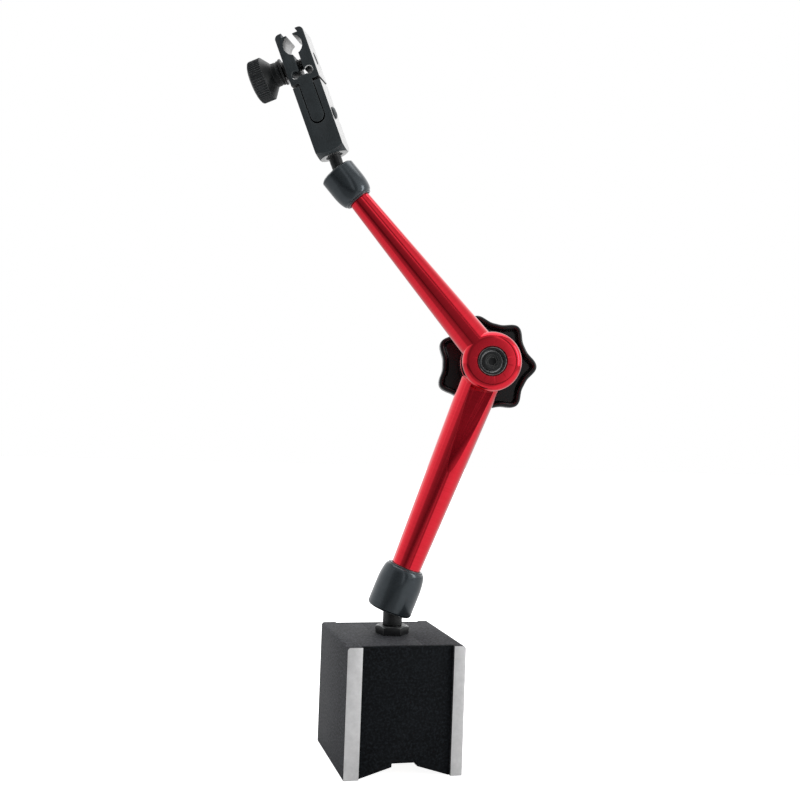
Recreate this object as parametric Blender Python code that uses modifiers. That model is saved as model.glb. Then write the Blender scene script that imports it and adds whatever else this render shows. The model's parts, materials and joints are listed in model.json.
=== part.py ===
# Articulated magnetic stand: switchable magnetic base, two arms with one central
# locking knob at the elbow, ball joints at both ends and a fine-adjust stem clamp.
# It stands on z = 0 with +Z up, +X right and the base's front towards -Y. The lower arm
# leans right and the upper arm left; the elbow knob is at the rear.
# Constants are millimetres and degrees, the model itself is in metres.
# Suffixes: _R radius, _Z height or level, _T thickness, _N level along the elbow axis.
from math import asin, atan2, cos, degrees, pi, radians, sin, sqrt, tau

import bpy
import bmesh
from mathutils import Matrix, Vector

MM = 0.001
GAP = 0.3                 # clearance between neighbouring pieces
SEG_LARGE, SEG_MEDIUM, SEG_SMALL = 36, 24, 12

# --- magnetic base --------------------------------------------------------
BASE_WIDTH, BASE_DEPTH, BASE_HEIGHT = 51.6, 58.4, 55.0
STRIP_WIDTH = 5.8         # ground strips on the front and rear faces
GROOVE_X = 0.7            # groove, notch and end recesses sit this far right of the middle
STUD_X = 0.5              # and so does the stud
PANEL_RECESS = 1.8
PANEL_T = 1.9
PANEL_TOP_GAP = 0.2
GROOVE_HALF = 19.5        # V groove half width at the foot
NOTCH_HALF = 5.5          # slot at the top of the V groove
GROOVE_Z, NOTCH_Z = 4.3, 5.8
EDGE_R = 1.2
SPACER_HALF = 8.0
SPACER_TOP_GAP, SPACER_BOTTOM_GAP = 0.7, 0.6   # spacers to rotor
BASE_STUD_R = 4.0
PANEL_SCREW_X, PANEL_SCREW_LEVELS = 16.4, (11.0, 46.0)
PANEL_SCREW_R = 1.5

RECESS_HALF = BASE_WIDTH / 2 - STRIP_WIDTH
PANEL_FACE = BASE_DEPTH / 2 - PANEL_RECESS     # outer face, from the middle of the base
RECESS_FLOOR = PANEL_FACE - PANEL_T - GAP

# --- rotor and switch knob ------------------------------------------------
ROTOR_R, ROTOR_Z = 15.0, 25.0
ROTOR_FRONT, ROTOR_REAR = -23.7, 25.1
JOURNAL_R = 8.0
MAGNET_HALF = (13.2, 6.0, 18.7)
SWITCH_FACE = 29.6        # front face of the switch knob
SWITCH_SCREW_R = 2.0
GRIP_HALF, GRIP_R = 10.5, 3.6

# --- lower ball joint -----------------------------------------------------
NUT_ACROSS, NUT_BOTTOM, NUT_TOP = 13.0, 55.05, 59.0
NUT_TURN = -14.8
LOWER_BALL_Z, LOWER_BALL_R, LOWER_NECK_R = 70.5, 6.5, 3.5
# face, end: levels either side of the ball; shoulder: where the waist starts
LOWER_CAP = dict(face=4.5, end=15.5, mouth_r=10.15, arm_r=8.1,
                 lip_r=6.0, flare_r=8.2, chamfer=1.2, shoulder=5.0)

# --- arms -----------------------------------------------------------------
PLANE_YAW = 14.75         # the arms' plane, turned about Z from the base's front
LOWER_LEAN, UPPER_LEAN = 20.02, 41.05
LOWER_LENGTH, UPPER_LENGTH = 113.33, 102.7
LOWER_SLIM_R, LOWER_WIDE_R = 6.7, 9.1
FLAT_LENGTH = 150
FLAT_START, FLAT_END = 8.95, 6.45   # half thickness at the ball and FLAT_LENGTH up
UPPER_SLIM_R, UPPER_WIDE_R = 4.75, 7.5
BORE_REACH = 150          # how far the arm bores' cutters run past the ball
HUB_R = 12.8
HUB_EDGE = 0.8            # rear chamfer
HUB_ROUND_R, HUB_ROUND_N = 3.0, 1.86   # front rounding, across and along the axis
LOWER_HUB_N = (-8.5, 8.5)
UPPER_HUB_N = (-24.6, -9.6)
UPPER_HUB_MID = (UPPER_HUB_N[0] + UPPER_HUB_N[1]) / 2
HUB_BORE_R, BOLT_R = 6.35, 3.0
BOLT_HOLE_R = BOLT_R + 0.4
CONE_R, CONE_NOSE_R = 6.0, 4.2
CONE_SHIFT = 0.7          # from the hub's middle to the nose's end of the taper
LOWER_ROD_R, UPPER_ROD_R = 3.0, 2.4
ROD_TIP_R, ROD_TIP_GAP = 1.2, 5.05
END_CHAMFER = 0.4         # on spigots, cups, rods and the tie bolt

# --- upper ball joint -----------------------------------------------------
UPPER_BALL_R, UPPER_NECK_R = 4.9, 2.75
UPPER_CAP = dict(face=4.0, end=12.0, mouth_r=8.1, arm_r=6.1,
                 lip_r=4.5, flare_r=6.4, chamfer=0.9, shoulder=3.6)

# --- clamp head, levels measured from the upper ball along the stud --------
HEAD_LEAN, HEAD_SWIVEL = 21.45, 9.5
HEAD_T = 15.0
HEAD_HALF = HEAD_T / 2
HEAD_STUD_R = 3.0
FORK_WIDTH, FORK_BOTTOM, FORK_TOP = 12.6, 10.35, 42.2
TONGUE_WIDTH, TONGUE_Z, TONGUE_T = 5.9, 25.0, 10.4
POCKET_T, TONGUE_SIDE, TONGUE_END = 11.2, 0.45, 0.8
PIN_Z, PIN_R = 27.4, 1.4
JAW_WIDTH, JAW_BOTTOM, JAW_TOP = 13.0, 43.3, 66.3
JAW_HALF = JAW_WIDTH / 2
JAW_CORNER_R = 2.0
RELIEF_Z, RELIEF_R, RELIEF_X = 47.3, 1.6, 3.15
CROSS_SLOT_HALF = 0.7     # half height of the slot joining the relief holes
SLIT_WIDTH = 2.3
CLAMP_Z, STEM_Z, STEM_R = 53.0, 59.9, 4.24
LIP_Z, LIP_GAP, DOVETAIL_TOP, DOVETAIL_IN = 64.5, 2.87, 6.4, 7.5
CLAMP_SCREW_R, CLAMP_KNOB_R, CLAMP_NECK_R = 2.5, 9.5, 5.15
FINE_Z, FINE_SCREW_R = 36.5, 1.5

# --- star knob ------------------------------------------------------------
STAR_LOBES, STAR_TIP, STAR_VALLEY = 7, 23.5, 19.95
STAR_POWER = 3.1          # higher makes the lobes narrower
STAR_STEPS = 112
STAR_FRONT, STAR_REAR = 10.6, 24.6
STAR_PHASE = 103.3        # one lobe's direction, seen from the front, from right

for old in list(bpy.data.objects):
    bpy.data.objects.remove(old, do_unlink=True)

scene = bpy.context.scene
parts = bpy.data.collections.new("magnetic_stand")
tools = bpy.data.collections.new("cutters")
scene.collection.children.link(parts)
scene.collection.children.link(tools)


# --------------------------------------------------------------------------
# materials
# --------------------------------------------------------------------------
def material(name, colour, roughness, metallic):
    made = bpy.data.materials.new(name)
    made.use_nodes = True
    shader = made.node_tree.nodes["Principled BSDF"]
    shader.inputs["Base Color"].default_value = (*colour, 1.0)
    shader.inputs["Roughness"].default_value = roughness
    shader.inputs["Metallic"].default_value = metallic
    made.diffuse_color = (*colour, 1.0)
    return made


BLACK_PAINT = material("black_textured_paint", colour=(0.022, 0.022, 0.023),
                       roughness=0.7, metallic=0.0)
BLACK_STEEL = material("blackened_steel", colour=(0.02, 0.022, 0.024),
                       roughness=0.35, metallic=0.8)
CAP_METAL = material("gunmetal_cap", colour=(0.035, 0.045, 0.05), roughness=0.4, metallic=0.6)
RED_ANODISED = material("red_anodised", colour=(0.55, 0.01, 0.02), roughness=0.25, metallic=0.9)
HEAD_BLACK = material("black_anodised", colour=(0.035, 0.045, 0.05), roughness=0.5, metallic=0.5)
PLASTIC = material("black_plastic", colour=(0.012, 0.012, 0.013), roughness=0.35, metallic=0.0)
STEEL = material("bright_steel", colour=(0.6, 0.6, 0.6), roughness=0.3, metallic=1.0)
BRASS = material("brass", colour=(0.65, 0.45, 0.16), roughness=0.35, metallic=1.0)
ALUMINIUM = material("aluminium", colour=(0.7, 0.7, 0.71), roughness=0.35, metallic=1.0)
MAGNET = material("magnet", colour=(0.12, 0.12, 0.13), roughness=0.6, metallic=0.3)

# --------------------------------------------------------------------------
# placing
# --------------------------------------------------------------------------
WORLD = {}                # each placed object's world matrix, by name


def frame(origin, z_axis, x_axis=(1, 0, 0)):
    """A right-handed frame with its Z along z_axis and its X as near x_axis as can be."""
    z = Vector(z_axis).normalized()
    x = Vector(x_axis)
    x = (x - z * x.dot(z)).normalized()
    matrix = Matrix((x, z.cross(x), z)).transposed().to_4x4()
    matrix.translation = Vector(origin) * MM
    return matrix


def place(obj, parent, at):
    """Parents obj and puts it at the frame given, or else at its parent's own."""
    base = WORLD[parent.name] if parent else Matrix.Identity(4)
    world = base if at is None else at
    obj.parent = parent
    obj.matrix_parent_inverse = Matrix.Identity(4)
    obj.matrix_basis = base.inverted() @ world
    WORLD[obj.name] = world


def pivot(name, parent, at=None):
    empty = bpy.data.objects.new(name, None)
    empty.empty_display_size = 0.01
    parts.objects.link(empty)
    place(empty, parent, at)
    return empty


def part(obj, parent, finish, at=None):
    parts.objects.link(obj)
    place(obj, parent, at)
    obj.data.materials.clear()
    obj.data.materials.append(finish)
    return obj


def tool(obj, parent, *targets, how="DIFFERENCE", at=None):
    """Places obj as a hidden helper and combines it with each target."""
    tools.objects.link(obj)
    place(obj, parent, at)
    obj.hide_render = True
    obj.display_type = "WIRE"
    for target in targets:
        modifier = target.modifiers.new(obj.name, "BOOLEAN")
        modifier.operation = how
        modifier.solver = "EXACT"
        modifier.object = obj


# --------------------------------------------------------------------------
# shapes
# --------------------------------------------------------------------------
def turned(name, profile, segments=SEG_MEDIUM):
    """A turned piece: profile of (radius, height), outer side downwards.

    A profile that starts off the axis is closed into a ring.
    """
    points = [(radius * MM, 0, z * MM) for radius, z in profile]
    edges = [(i, i + 1) for i in range(len(points) - 1)]
    if profile[0][0] > 0:
        edges.append((len(points) - 1, 0))
    mesh = bpy.data.meshes.new(name)
    mesh.from_pydata(points, edges, [])
    obj = bpy.data.objects.new(name, mesh)
    screw = obj.modifiers.new("turn", "SCREW")
    screw.axis = "Z"
    screw.angle = tau
    screw.screw_offset = 0
    screw.steps = screw.render_steps = segments
    screw.use_merge_vertices = True
    screw.merge_threshold = 0.00001
    screw.use_smooth_shade = True
    return obj


def flipped(profile):
    """The same profile pointing down Z."""
    return [(radius, -z) for radius, z in reversed(profile)]


def ring(name, inner, outer, bottom, top, segments=SEG_MEDIUM):
    return turned(name, [(inner, top), (outer, top), (outer, bottom), (inner, bottom)], segments)


def block(name, low, high):
    mesh = bpy.data.meshes.new(name)
    bm = bmesh.new()
    bmesh.ops.create_cube(bm, size=1)
    for v in bm.verts:
        v.co = Vector([(low[i] + (v.co[i] + 0.5) * (high[i] - low[i])) * MM for i in range(3)])
    bm.to_mesh(mesh)
    bm.free()
    return bpy.data.objects.new(name, mesh)


def rod(name, radius, bottom, top, segments=SEG_MEDIUM):
    mesh = bpy.data.meshes.new(name)
    bm = bmesh.new()
    bmesh.ops.create_cone(bm, cap_ends=True, segments=segments, radius1=radius * MM,
                          radius2=radius * MM, depth=(top - bottom) * MM)
    bmesh.ops.translate(bm, verts=bm.verts, vec=(0, 0, (bottom + top) / 2 * MM))
    bm.to_mesh(mesh)
    bm.free()
    mesh.shade_smooth()
    mesh.set_sharp_from_angle(angle=radians(35))
    return bpy.data.objects.new(name, mesh)


def outline(name, points, bottom, top):
    """A flat outline filled in its XY plane and extruded from bottom to top."""
    curve = bpy.data.curves.new(name, "CURVE")
    curve.dimensions = "2D"
    curve.fill_mode = "BOTH"
    curve.extrude = (top - bottom) / 2 * MM
    spline = curve.splines.new("POLY")
    spline.points.add(len(points) - 1)
    for point, (x, y) in zip(spline.points, points):
        point.co = (x * MM, y * MM, 0, 1)
    spline.use_cyclic_u = True
    source = bpy.data.objects.new(name + "_curve", curve)
    scene.collection.objects.link(source)
    depsgraph = bpy.context.evaluated_depsgraph_get()
    mesh = bpy.data.meshes.new_from_object(source.evaluated_get(depsgraph))
    bpy.data.objects.remove(source, do_unlink=True)
    # the curve's caps and sides come unjoined
    bm = bmesh.new()
    bm.from_mesh(mesh)
    bmesh.ops.remove_doubles(bm, verts=bm.verts, dist=0.000001)
    bmesh.ops.translate(bm, verts=bm.verts, vec=(0, 0, (bottom + top) / 2 * MM))
    bmesh.ops.recalc_face_normals(bm, faces=bm.faces)
    bm.to_mesh(mesh)
    bm.free()
    mesh.name = name
    return bpy.data.objects.new(name, mesh)


def arc(centre, radius, start, end, steps):
    angles = [radians(start + (end - start) * i / steps) for i in range(steps + 1)]
    return [(centre[0] + radius * cos(a), centre[1] + radius * sin(a)) for a in angles]


def hexagon(radius, turn=0):
    angles = [radians(a + turn) for a in range(0, 360, 60)]
    return [(radius * cos(a), radius * sin(a)) for a in angles]


# --------------------------------------------------------------------------
# directions, key points, frames and pivots
# --------------------------------------------------------------------------
def leaning(lean, sideways):
    """Up, tipped by lean degrees towards the direction sideways."""
    return (sideways * sin(radians(lean)) + UP * cos(radians(lean))).normalized()


yaw, swivel = radians(PLANE_YAW), radians(HEAD_SWIVEL)
UP = Vector((0, 0, 1))
PLANE_RIGHT = Vector((cos(yaw), -sin(yaw), 0))
PLANE_REAR = Vector((sin(yaw), cos(yaw), 0))           # the elbow axis
LOWER_DIR = leaning(LOWER_LEAN, PLANE_RIGHT)
UPPER_DIR = leaning(UPPER_LEAN, -PLANE_RIGHT)
HEAD_DIR = leaning(HEAD_LEAN, -PLANE_RIGHT)
unswivelled = PLANE_RIGHT * cos(radians(HEAD_LEAN)) + UP * sin(radians(HEAD_LEAN))
HEAD_RIGHT = (unswivelled * cos(swivel) - PLANE_REAR * sin(swivel)).normalized()
HEAD_REAR = (PLANE_REAR * cos(swivel) + unswivelled * sin(swivel)).normalized()

LOWER_BALL = Vector((STUD_X, 0, LOWER_BALL_Z))
ELBOW = LOWER_BALL + LOWER_DIR * LOWER_LENGTH
UPPER_BALL = ELBOW + PLANE_REAR * UPPER_HUB_MID + UPPER_DIR * UPPER_LENGTH
PIN_POINT = UPPER_BALL + HEAD_DIR * PIN_Z + HEAD_REAR * (-HEAD_HALF + TONGUE_T / 2)

STUD_FRAME = frame((STUD_X, 0, 0), UP)
SECTION_FRAME = frame((0, 0, 0), (0, -1, 0))           # X right, Y up, Z forward
ROTOR_FRAME = frame((0, 0, ROTOR_Z), (0, 1, 0))        # Z to the rear, Y down
FACE_FRAME = frame(UPPER_BALL, -HEAD_REAR, HEAD_RIGHT)  # Y up the stud, Z to the front
PIN_FRAME = frame(PIN_POINT, HEAD_RIGHT, HEAD_REAR)

root = pivot("stand_origin", None)
switch_pivot = pivot("pivot_magnet_switch", root, ROTOR_FRAME)
ball1_pivot = pivot("pivot_lower_ball", root, frame(LOWER_BALL, UP, PLANE_RIGHT))
arm1_pivot = pivot("pivot_lower_arm", ball1_pivot,
                   frame(LOWER_BALL, LOWER_DIR, PLANE_REAR.cross(LOWER_DIR)))
# Z to the rear, Y down
elbow_pivot = pivot("pivot_elbow", arm1_pivot, frame(ELBOW, PLANE_REAR, PLANE_RIGHT))
# the upper arm's frame sits on the upper ball, Z away from the elbow
arm2_pivot = pivot("pivot_upper_ball", elbow_pivot,
                   frame(UPPER_BALL, UPPER_DIR, PLANE_REAR.cross(UPPER_DIR)))
head_pivot = pivot("pivot_head", arm2_pivot, frame(UPPER_BALL, HEAD_DIR, HEAD_RIGHT))
jaw_pivot = pivot("pivot_jaw", head_pivot, PIN_FRAME)
# Z out of the left side
clamp_pivot = pivot("pivot_clamp_knob", jaw_pivot,
                    frame(UPPER_BALL + HEAD_DIR * CLAMP_Z, -HEAD_RIGHT, HEAD_REAR))
fine_pivot = pivot("pivot_fine_screw", head_pivot,
                   frame(UPPER_BALL + HEAD_DIR * FINE_Z, HEAD_REAR, HEAD_RIGHT))


# --------------------------------------------------------------------------
# magnetic base
# --------------------------------------------------------------------------
def build_pole(name, side):
    """One pole piece: half the block's section, run from rear to front."""
    half = BASE_WIDTH / 2
    shift = side * GROOVE_X
    points = [(half, 0)]
    points += arc((half - EDGE_R, BASE_HEIGHT - EDGE_R), EDGE_R, 0, 90, 3)
    points += [(SPACER_HALF + GAP, BASE_HEIGHT), (SPACER_HALF + GAP, ROTOR_Z),
               (NOTCH_HALF + shift, ROTOR_Z), (NOTCH_HALF + shift, GROOVE_Z),
               (GROOVE_HALF + shift, 0)]
    if side < 0:
        points = [(-x, y) for x, y in reversed(points)]
    pole = outline(name, points, -BASE_DEPTH / 2, BASE_DEPTH / 2)
    return part(pole, root, BLACK_PAINT, at=SECTION_FRAME)


def hollow_poles(poles):
    """Panel recesses at both ends and the rotor's bore."""
    for end, front, rear in (("front", -BASE_DEPTH, -RECESS_FLOOR),
                             ("rear", RECESS_FLOOR, BASE_DEPTH)):
        recess = block(f"cut_{end}_recess", (GROOVE_X - RECESS_HALF, front, -1),
                       (GROOVE_X + RECESS_HALF, rear, BASE_HEIGHT + 1))
        tool(recess, root, *poles)
    bore = rod("cut_rotor_bore", ROTOR_R + GAP, ROTOR_FRONT - GAP, 40, SEG_LARGE)
    tool(bore, root, *poles, at=ROTOR_FRAME)


def build_spacers():
    """Brass blocks between the poles, above and below the rotor."""
    depth_half = RECESS_FLOOR - GAP
    top = block("base_spacer_top",
                (-SPACER_HALF, -depth_half, ROTOR_Z + ROTOR_R + SPACER_TOP_GAP),
                (SPACER_HALF, depth_half, BASE_HEIGHT))
    part(top, root, BRASS)
    hole = rod("cut_stud_hole", BASE_STUD_R + GAP, ROTOR_Z, BASE_HEIGHT + 5)
    tool(hole, root, top, at=STUD_FRAME)
    bottom = block("base_spacer_bottom", (GROOVE_X - NOTCH_HALF + GAP, -depth_half, NOTCH_Z),
                   (GROOVE_X + NOTCH_HALF - GAP, depth_half,
                    ROTOR_Z - ROTOR_R - SPACER_BOTTOM_GAP))
    part(bottom, root, BRASS)


def build_panel(name, bottom, top):
    """The panel that closes one end of the block, with the V groove in its foot."""
    half = RECESS_HALF - GAP
    height = BASE_HEIGHT - PANEL_TOP_GAP
    points = [(half, 0), (half, height), (-half, height), (-half, 0),
              (-NOTCH_HALF, GROOVE_Z), (-NOTCH_HALF, NOTCH_Z),
              (NOTCH_HALF, NOTCH_Z), (NOTCH_HALF, GROOVE_Z)]
    panel = outline(name, [(x + GROOVE_X, y) for x, y in points], bottom, top)
    return part(panel, root, BLACK_PAINT, at=SECTION_FRAME)


def build_rear_screws(poles, panel):
    """Four countersunk screws through the rear panel into the poles."""
    hole_r = PANEL_SCREW_R + GAP
    countersink = [(0, PANEL_FACE + 4), (3.0, PANEL_FACE + 4), (3.0, PANEL_FACE),
                   (hole_r, PANEL_FACE - 1.2), (hole_r, PANEL_FACE - 4), (0, PANEL_FACE - 4)]
    profile = [(0, PANEL_FACE - 0.1), (2.55, PANEL_FACE - 0.1),
               (PANEL_SCREW_R, PANEL_FACE - 1.25), (PANEL_SCREW_R, 19.9), (0, 19.9)]
    places = [(pole, GROOVE_X + side * PANEL_SCREW_X, z)
              for pole, side in zip(poles, (-1, 1)) for z in PANEL_SCREW_LEVELS]
    for k, (pole, x, z) in enumerate(places):
        at = frame((x, 0, z), (0, 1, 0))
        tool(rod(f"cut_plate_screw_{k}", hole_r, 19.5, 40, SEG_SMALL), root, pole, at=at)
        tool(turned(f"cut_plate_hole_{k}", countersink, SEG_SMALL), root, panel, at=at)
        part(turned(f"rear_panel_screw_{k + 1}", profile, SEG_SMALL), root, STEEL, at=at)


def build_base():
    poles = [build_pole("base_pole_left", -1), build_pole("base_pole_right", 1)]
    hollow_poles(poles)
    build_spacers()
    build_panel("front_cover_panel", PANEL_FACE - PANEL_T, PANEL_FACE)
    rear_panel = build_panel("rear_cover_panel", -PANEL_FACE, -PANEL_FACE + PANEL_T)
    journal_hole = rod("cut_journal_hole", JOURNAL_R + GAP, 24, 40)
    tool(journal_hole, root, rear_panel, at=ROTOR_FRAME)
    build_rear_screws(poles, rear_panel)


def build_lock_nut():
    points = hexagon(NUT_ACROSS / sqrt(3), NUT_TURN)
    nut = part(outline("lock_nut", points, NUT_BOTTOM, NUT_TOP), root, BLACK_STEEL, at=STUD_FRAME)
    chamfer = turned("form_nut_chamfer", [
        (0, NUT_TOP + 0.01), (6.3, NUT_TOP + 0.01), (7.6, NUT_TOP - 0.74),
        (7.6, NUT_BOTTOM - 1), (0, NUT_BOTTOM - 1)], SEG_LARGE)
    tool(chamfer, root, nut, how="INTERSECT", at=STUD_FRAME)
    tool(rod("cut_nut_hole", BASE_STUD_R + GAP, 50, 64), root, nut, at=STUD_FRAME)


def build_rotor():
    """Rotor with a slot across it for the magnet."""
    rotor = turned("magnet_rotor", [
        (0, 29.2), (7.9, 29.2), (JOURNAL_R, 29.1), (JOURNAL_R, ROTOR_REAR),
        (ROTOR_R, ROTOR_REAR), (ROTOR_R, ROTOR_FRONT), (0, ROTOR_FRONT)], SEG_LARGE)
    part(rotor, switch_pivot, ALUMINIUM)
    # the slot runs out through both sides
    slot_half = (20, MAGNET_HALF[1] + GAP, MAGNET_HALF[2] + GAP)
    tool(block("cut_magnet_slot", [-h for h in slot_half], slot_half), switch_pivot, rotor)
    tool(rod("cut_knob_screw", SWITCH_SCREW_R + GAP, 20, 60, SEG_SMALL), switch_pivot, rotor)
    part(block("magnet_block", [-h for h in MAGNET_HALF], MAGNET_HALF), switch_pivot, MAGNET)


def build_switch_knob():
    """Round knob on the rear face with a bar grip and a screw in its middle."""
    face = SWITCH_FACE
    knob = turned("switch_knob", [
        (0, face + 5), (14.0, face + 5), (15.0, face + 4), (15.0, face + 0.6),
        (14.4, face), (0, face)], SEG_LARGE)
    part(knob, switch_pivot, PLASTIC)
    points = arc((GRIP_HALF, 0), GRIP_R, -90, 90, 8) + arc((-GRIP_HALF, 0), GRIP_R, 90, 270, 8)
    tool(outline("form_switch_grip", points, face + 3, face + 13), switch_pivot, knob,
         how="UNION")
    hole_r = SWITCH_SCREW_R + GAP
    recess = turned("cut_knob_recess", [
        (0, 50), (4.0, 50), (4.0, face + 9.5), (hole_r, face + 9.5), (hole_r, 20), (0, 20)],
        SEG_SMALL)
    tool(recess, switch_pivot, knob)
    screw = turned("switch_knob_screw", [
        (0, face + 12.4), (3.2, face + 12.4), (3.6, face + 12.0), (3.6, face + 9.8),
        (SWITCH_SCREW_R, face + 9.8), (SWITCH_SCREW_R, 20.6), (0, 20.6)], SEG_SMALL)
    part(screw, switch_pivot, STEEL)


# --------------------------------------------------------------------------
# ball joints
# --------------------------------------------------------------------------
def ball_profile(radius, neck_r, steps):
    """Half circle from the pole down to where the neck leaves the ball."""
    end = -90 + degrees(asin(neck_r / radius))
    return [(0, radius)] + arc((0, 0), radius, 90, end, steps)[1:]


def cup_profile(ball_r, bottom, top, radius):
    """A seat that bears on the ball's arm side, hollowed to its sphere."""
    hollow_r = ball_r + 0.35
    hollow = arc((0, 0), hollow_r, 90, degrees(asin(bottom / hollow_r)), 4)
    outer = [(0, top), (radius - END_CHAMFER, top), (radius, top - END_CHAMFER),
             (radius, bottom)]
    return outer + hollow[::-1]


def cap_profile(ball_r, face, end, mouth_r, arm_r, lip_r, flare_r, chamfer, shoulder):
    """Socket cap: big mouth at the ball, convex waist towards the arm."""
    bore_r = ball_r + GAP
    rim = end - 0.5
    outer = [(bore_r, end), (arm_r - 0.5, end), (arm_r, rim)]
    for i in range(1, 5):
        angle = pi / 2 * i / 4
        outer.append((arm_r + (mouth_r - arm_r) * sin(angle),
                      shoulder + (rim - shoulder) * cos(angle)))
    outer += [(mouth_r, -face + chamfer), (mouth_r - chamfer * 0.55, -face + chamfer * 0.3),
              (mouth_r - chamfer, -face), (flare_r, -face)]
    lip_z = -sqrt(bore_r * bore_r - lip_r * lip_r)
    return outer + arc((0, 0), bore_r, degrees(atan2(lip_z, lip_r)), 0, 3)


def build_lower_joint():
    thread_end = 42.0 - LOWER_BALL_Z
    stud = ball_profile(LOWER_BALL_R, LOWER_NECK_R, 8) + [
        (LOWER_NECK_R, -5.8), (4.3, -5.95), (4.3, -11.15), (BASE_STUD_R, -11.45),
        (BASE_STUD_R, thread_end + 0.5), (3.4, thread_end), (0, thread_end)]
    part(turned("lower_ball_stud", stud), ball1_pivot, BLACK_STEEL)
    cup = cup_profile(LOWER_BALL_R, bottom=3.2, top=8.0, radius=6.4)
    part(turned("lower_ball_cup", cup), arm1_pivot, BRASS)
    cap = cap_profile(LOWER_BALL_R, **LOWER_CAP)
    part(turned("lower_socket_cap", cap, SEG_LARGE), arm1_pivot, CAP_METAL)


def build_upper_joint():
    stud = [(0, 21), (2.6, 21), (HEAD_STUD_R, 20.6), (HEAD_STUD_R, 10.2), (2.8, 9.9),
            (2.8, 7.6), (UPPER_NECK_R, 7.0)]
    stud += flipped(ball_profile(UPPER_BALL_R, UPPER_NECK_R, 7))
    part(turned("upper_ball_stud", stud), head_pivot, BLACK_STEEL)
    cup = cup_profile(UPPER_BALL_R, bottom=2.4, top=6.1, radius=4.8)
    part(turned("upper_ball_cup", flipped(cup)), arm2_pivot, BRASS)
    cap = cap_profile(UPPER_BALL_R, **UPPER_CAP)
    part(turned("upper_socket_cap", flipped(cap), SEG_LARGE), arm2_pivot, CAP_METAL)


# --------------------------------------------------------------------------
# arms
# --------------------------------------------------------------------------
def hub(name, levels):
    """Elbow hub: a barrel with its front edge well rounded."""
    front, rear = levels
    profile = [(0, rear), (HUB_R - HUB_EDGE, rear), (HUB_R, rear - HUB_EDGE)]
    profile += [(HUB_R - HUB_ROUND_R + HUB_ROUND_R * cos(radians(a)),
                 front + HUB_ROUND_N - HUB_ROUND_N * sin(radians(a)))
                for a in (0, 22, 45, 68, 90)]
    profile += [(0, front)]
    return turned(name, profile, SEG_LARGE)


def arm_profile(length, start, spigot_r, step, slim_r, wide_r):
    """Tapered bar from the spigot near the ball, at 0, to just short of the elbow axis."""
    return [(0, length - 2), (wide_r, length - 2), (wide_r, length - 8), (slim_r, step),
            (spigot_r, step), (spigot_r, start + END_CHAMFER), (spigot_r - END_CHAMFER, start),
            (0, start)]


def build_lower_arm():
    """Bar with side flats that converge upwards, joined to the rear hub."""
    profile = arm_profile(LOWER_LENGTH, start=8.5, spigot_r=6.4, step=LOWER_CAP["end"] + GAP,
                          slim_r=LOWER_SLIM_R, wide_r=LOWER_WIDE_R)
    arm = part(turned("lower_arm", profile, SEG_LARGE), arm1_pivot, RED_ANODISED)
    slab = block("form_lower_arm", (-60, -1, 0), (60, 1, FLAT_LENGTH))
    for v in slab.data.vertices:
        v.co.y *= FLAT_END if v.co.z > FLAT_LENGTH / 2 * MM else FLAT_START
    tool(slab, arm1_pivot, arm, how="INTERSECT")
    tool(hub("form_lower_hub", LOWER_HUB_N), elbow_pivot, arm, how="UNION")
    bore = rod("cut_lower_arm", LOWER_ROD_R + GAP, -BORE_REACH, LOWER_LENGTH, SEG_SMALL)
    tool(bore, arm1_pivot, arm)
    hub_bore = turned("cut_lower_hub", [
        (0, 20), (HUB_BORE_R, 20), (HUB_BORE_R, -5.5), (BOLT_HOLE_R, -5.5),
        (BOLT_HOLE_R, -15), (0, -15)])
    tool(hub_bore, elbow_pivot, arm)


def build_upper_arm():
    """Round tapered bar, joined to the front hub."""
    profile = arm_profile(UPPER_LENGTH, start=6.5, spigot_r=4.6, step=UPPER_CAP["end"] - 0.1,
                          slim_r=UPPER_SLIM_R, wide_r=UPPER_WIDE_R)
    arm = part(turned("upper_arm", flipped(profile), SEG_LARGE), arm2_pivot, RED_ANODISED)
    tool(hub("form_upper_hub", UPPER_HUB_N), elbow_pivot, arm, how="UNION")
    bore = rod("cut_upper_arm", UPPER_ROD_R + GAP, -UPPER_LENGTH, BORE_REACH, SEG_SMALL)
    tool(bore, arm2_pivot, arm)
    hub_bore = turned("cut_upper_hub", [
        (0, -5), (BOLT_HOLE_R, -5), (BOLT_HOLE_R, -12), (HUB_BORE_R, -12),
        (HUB_BORE_R, -30), (0, -30)])
    tool(hub_bore, elbow_pivot, arm)


# --------------------------------------------------------------------------
# lock mechanism inside the arms and the elbow
# --------------------------------------------------------------------------
def rod_profile(radius, start, length):
    """Push rod from its ball end at start to a 45 degree tip near the elbow axis."""
    tip = length - ROD_TIP_GAP
    return [(0, tip), (ROD_TIP_R, tip), (radius, tip - (radius - ROD_TIP_R)),
            (radius, start + END_CHAMFER), (radius - END_CHAMFER, start), (0, start)]


def build_push_rods():
    lower = rod_profile(LOWER_ROD_R, 8.3, LOWER_LENGTH)
    part(turned("lower_push_rod", lower, SEG_SMALL), arm1_pivot, STEEL)
    upper = flipped(rod_profile(UPPER_ROD_R, 6.4, UPPER_LENGTH))
    part(turned("upper_push_rod", upper, SEG_SMALL), arm2_pivot, STEEL)


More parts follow.
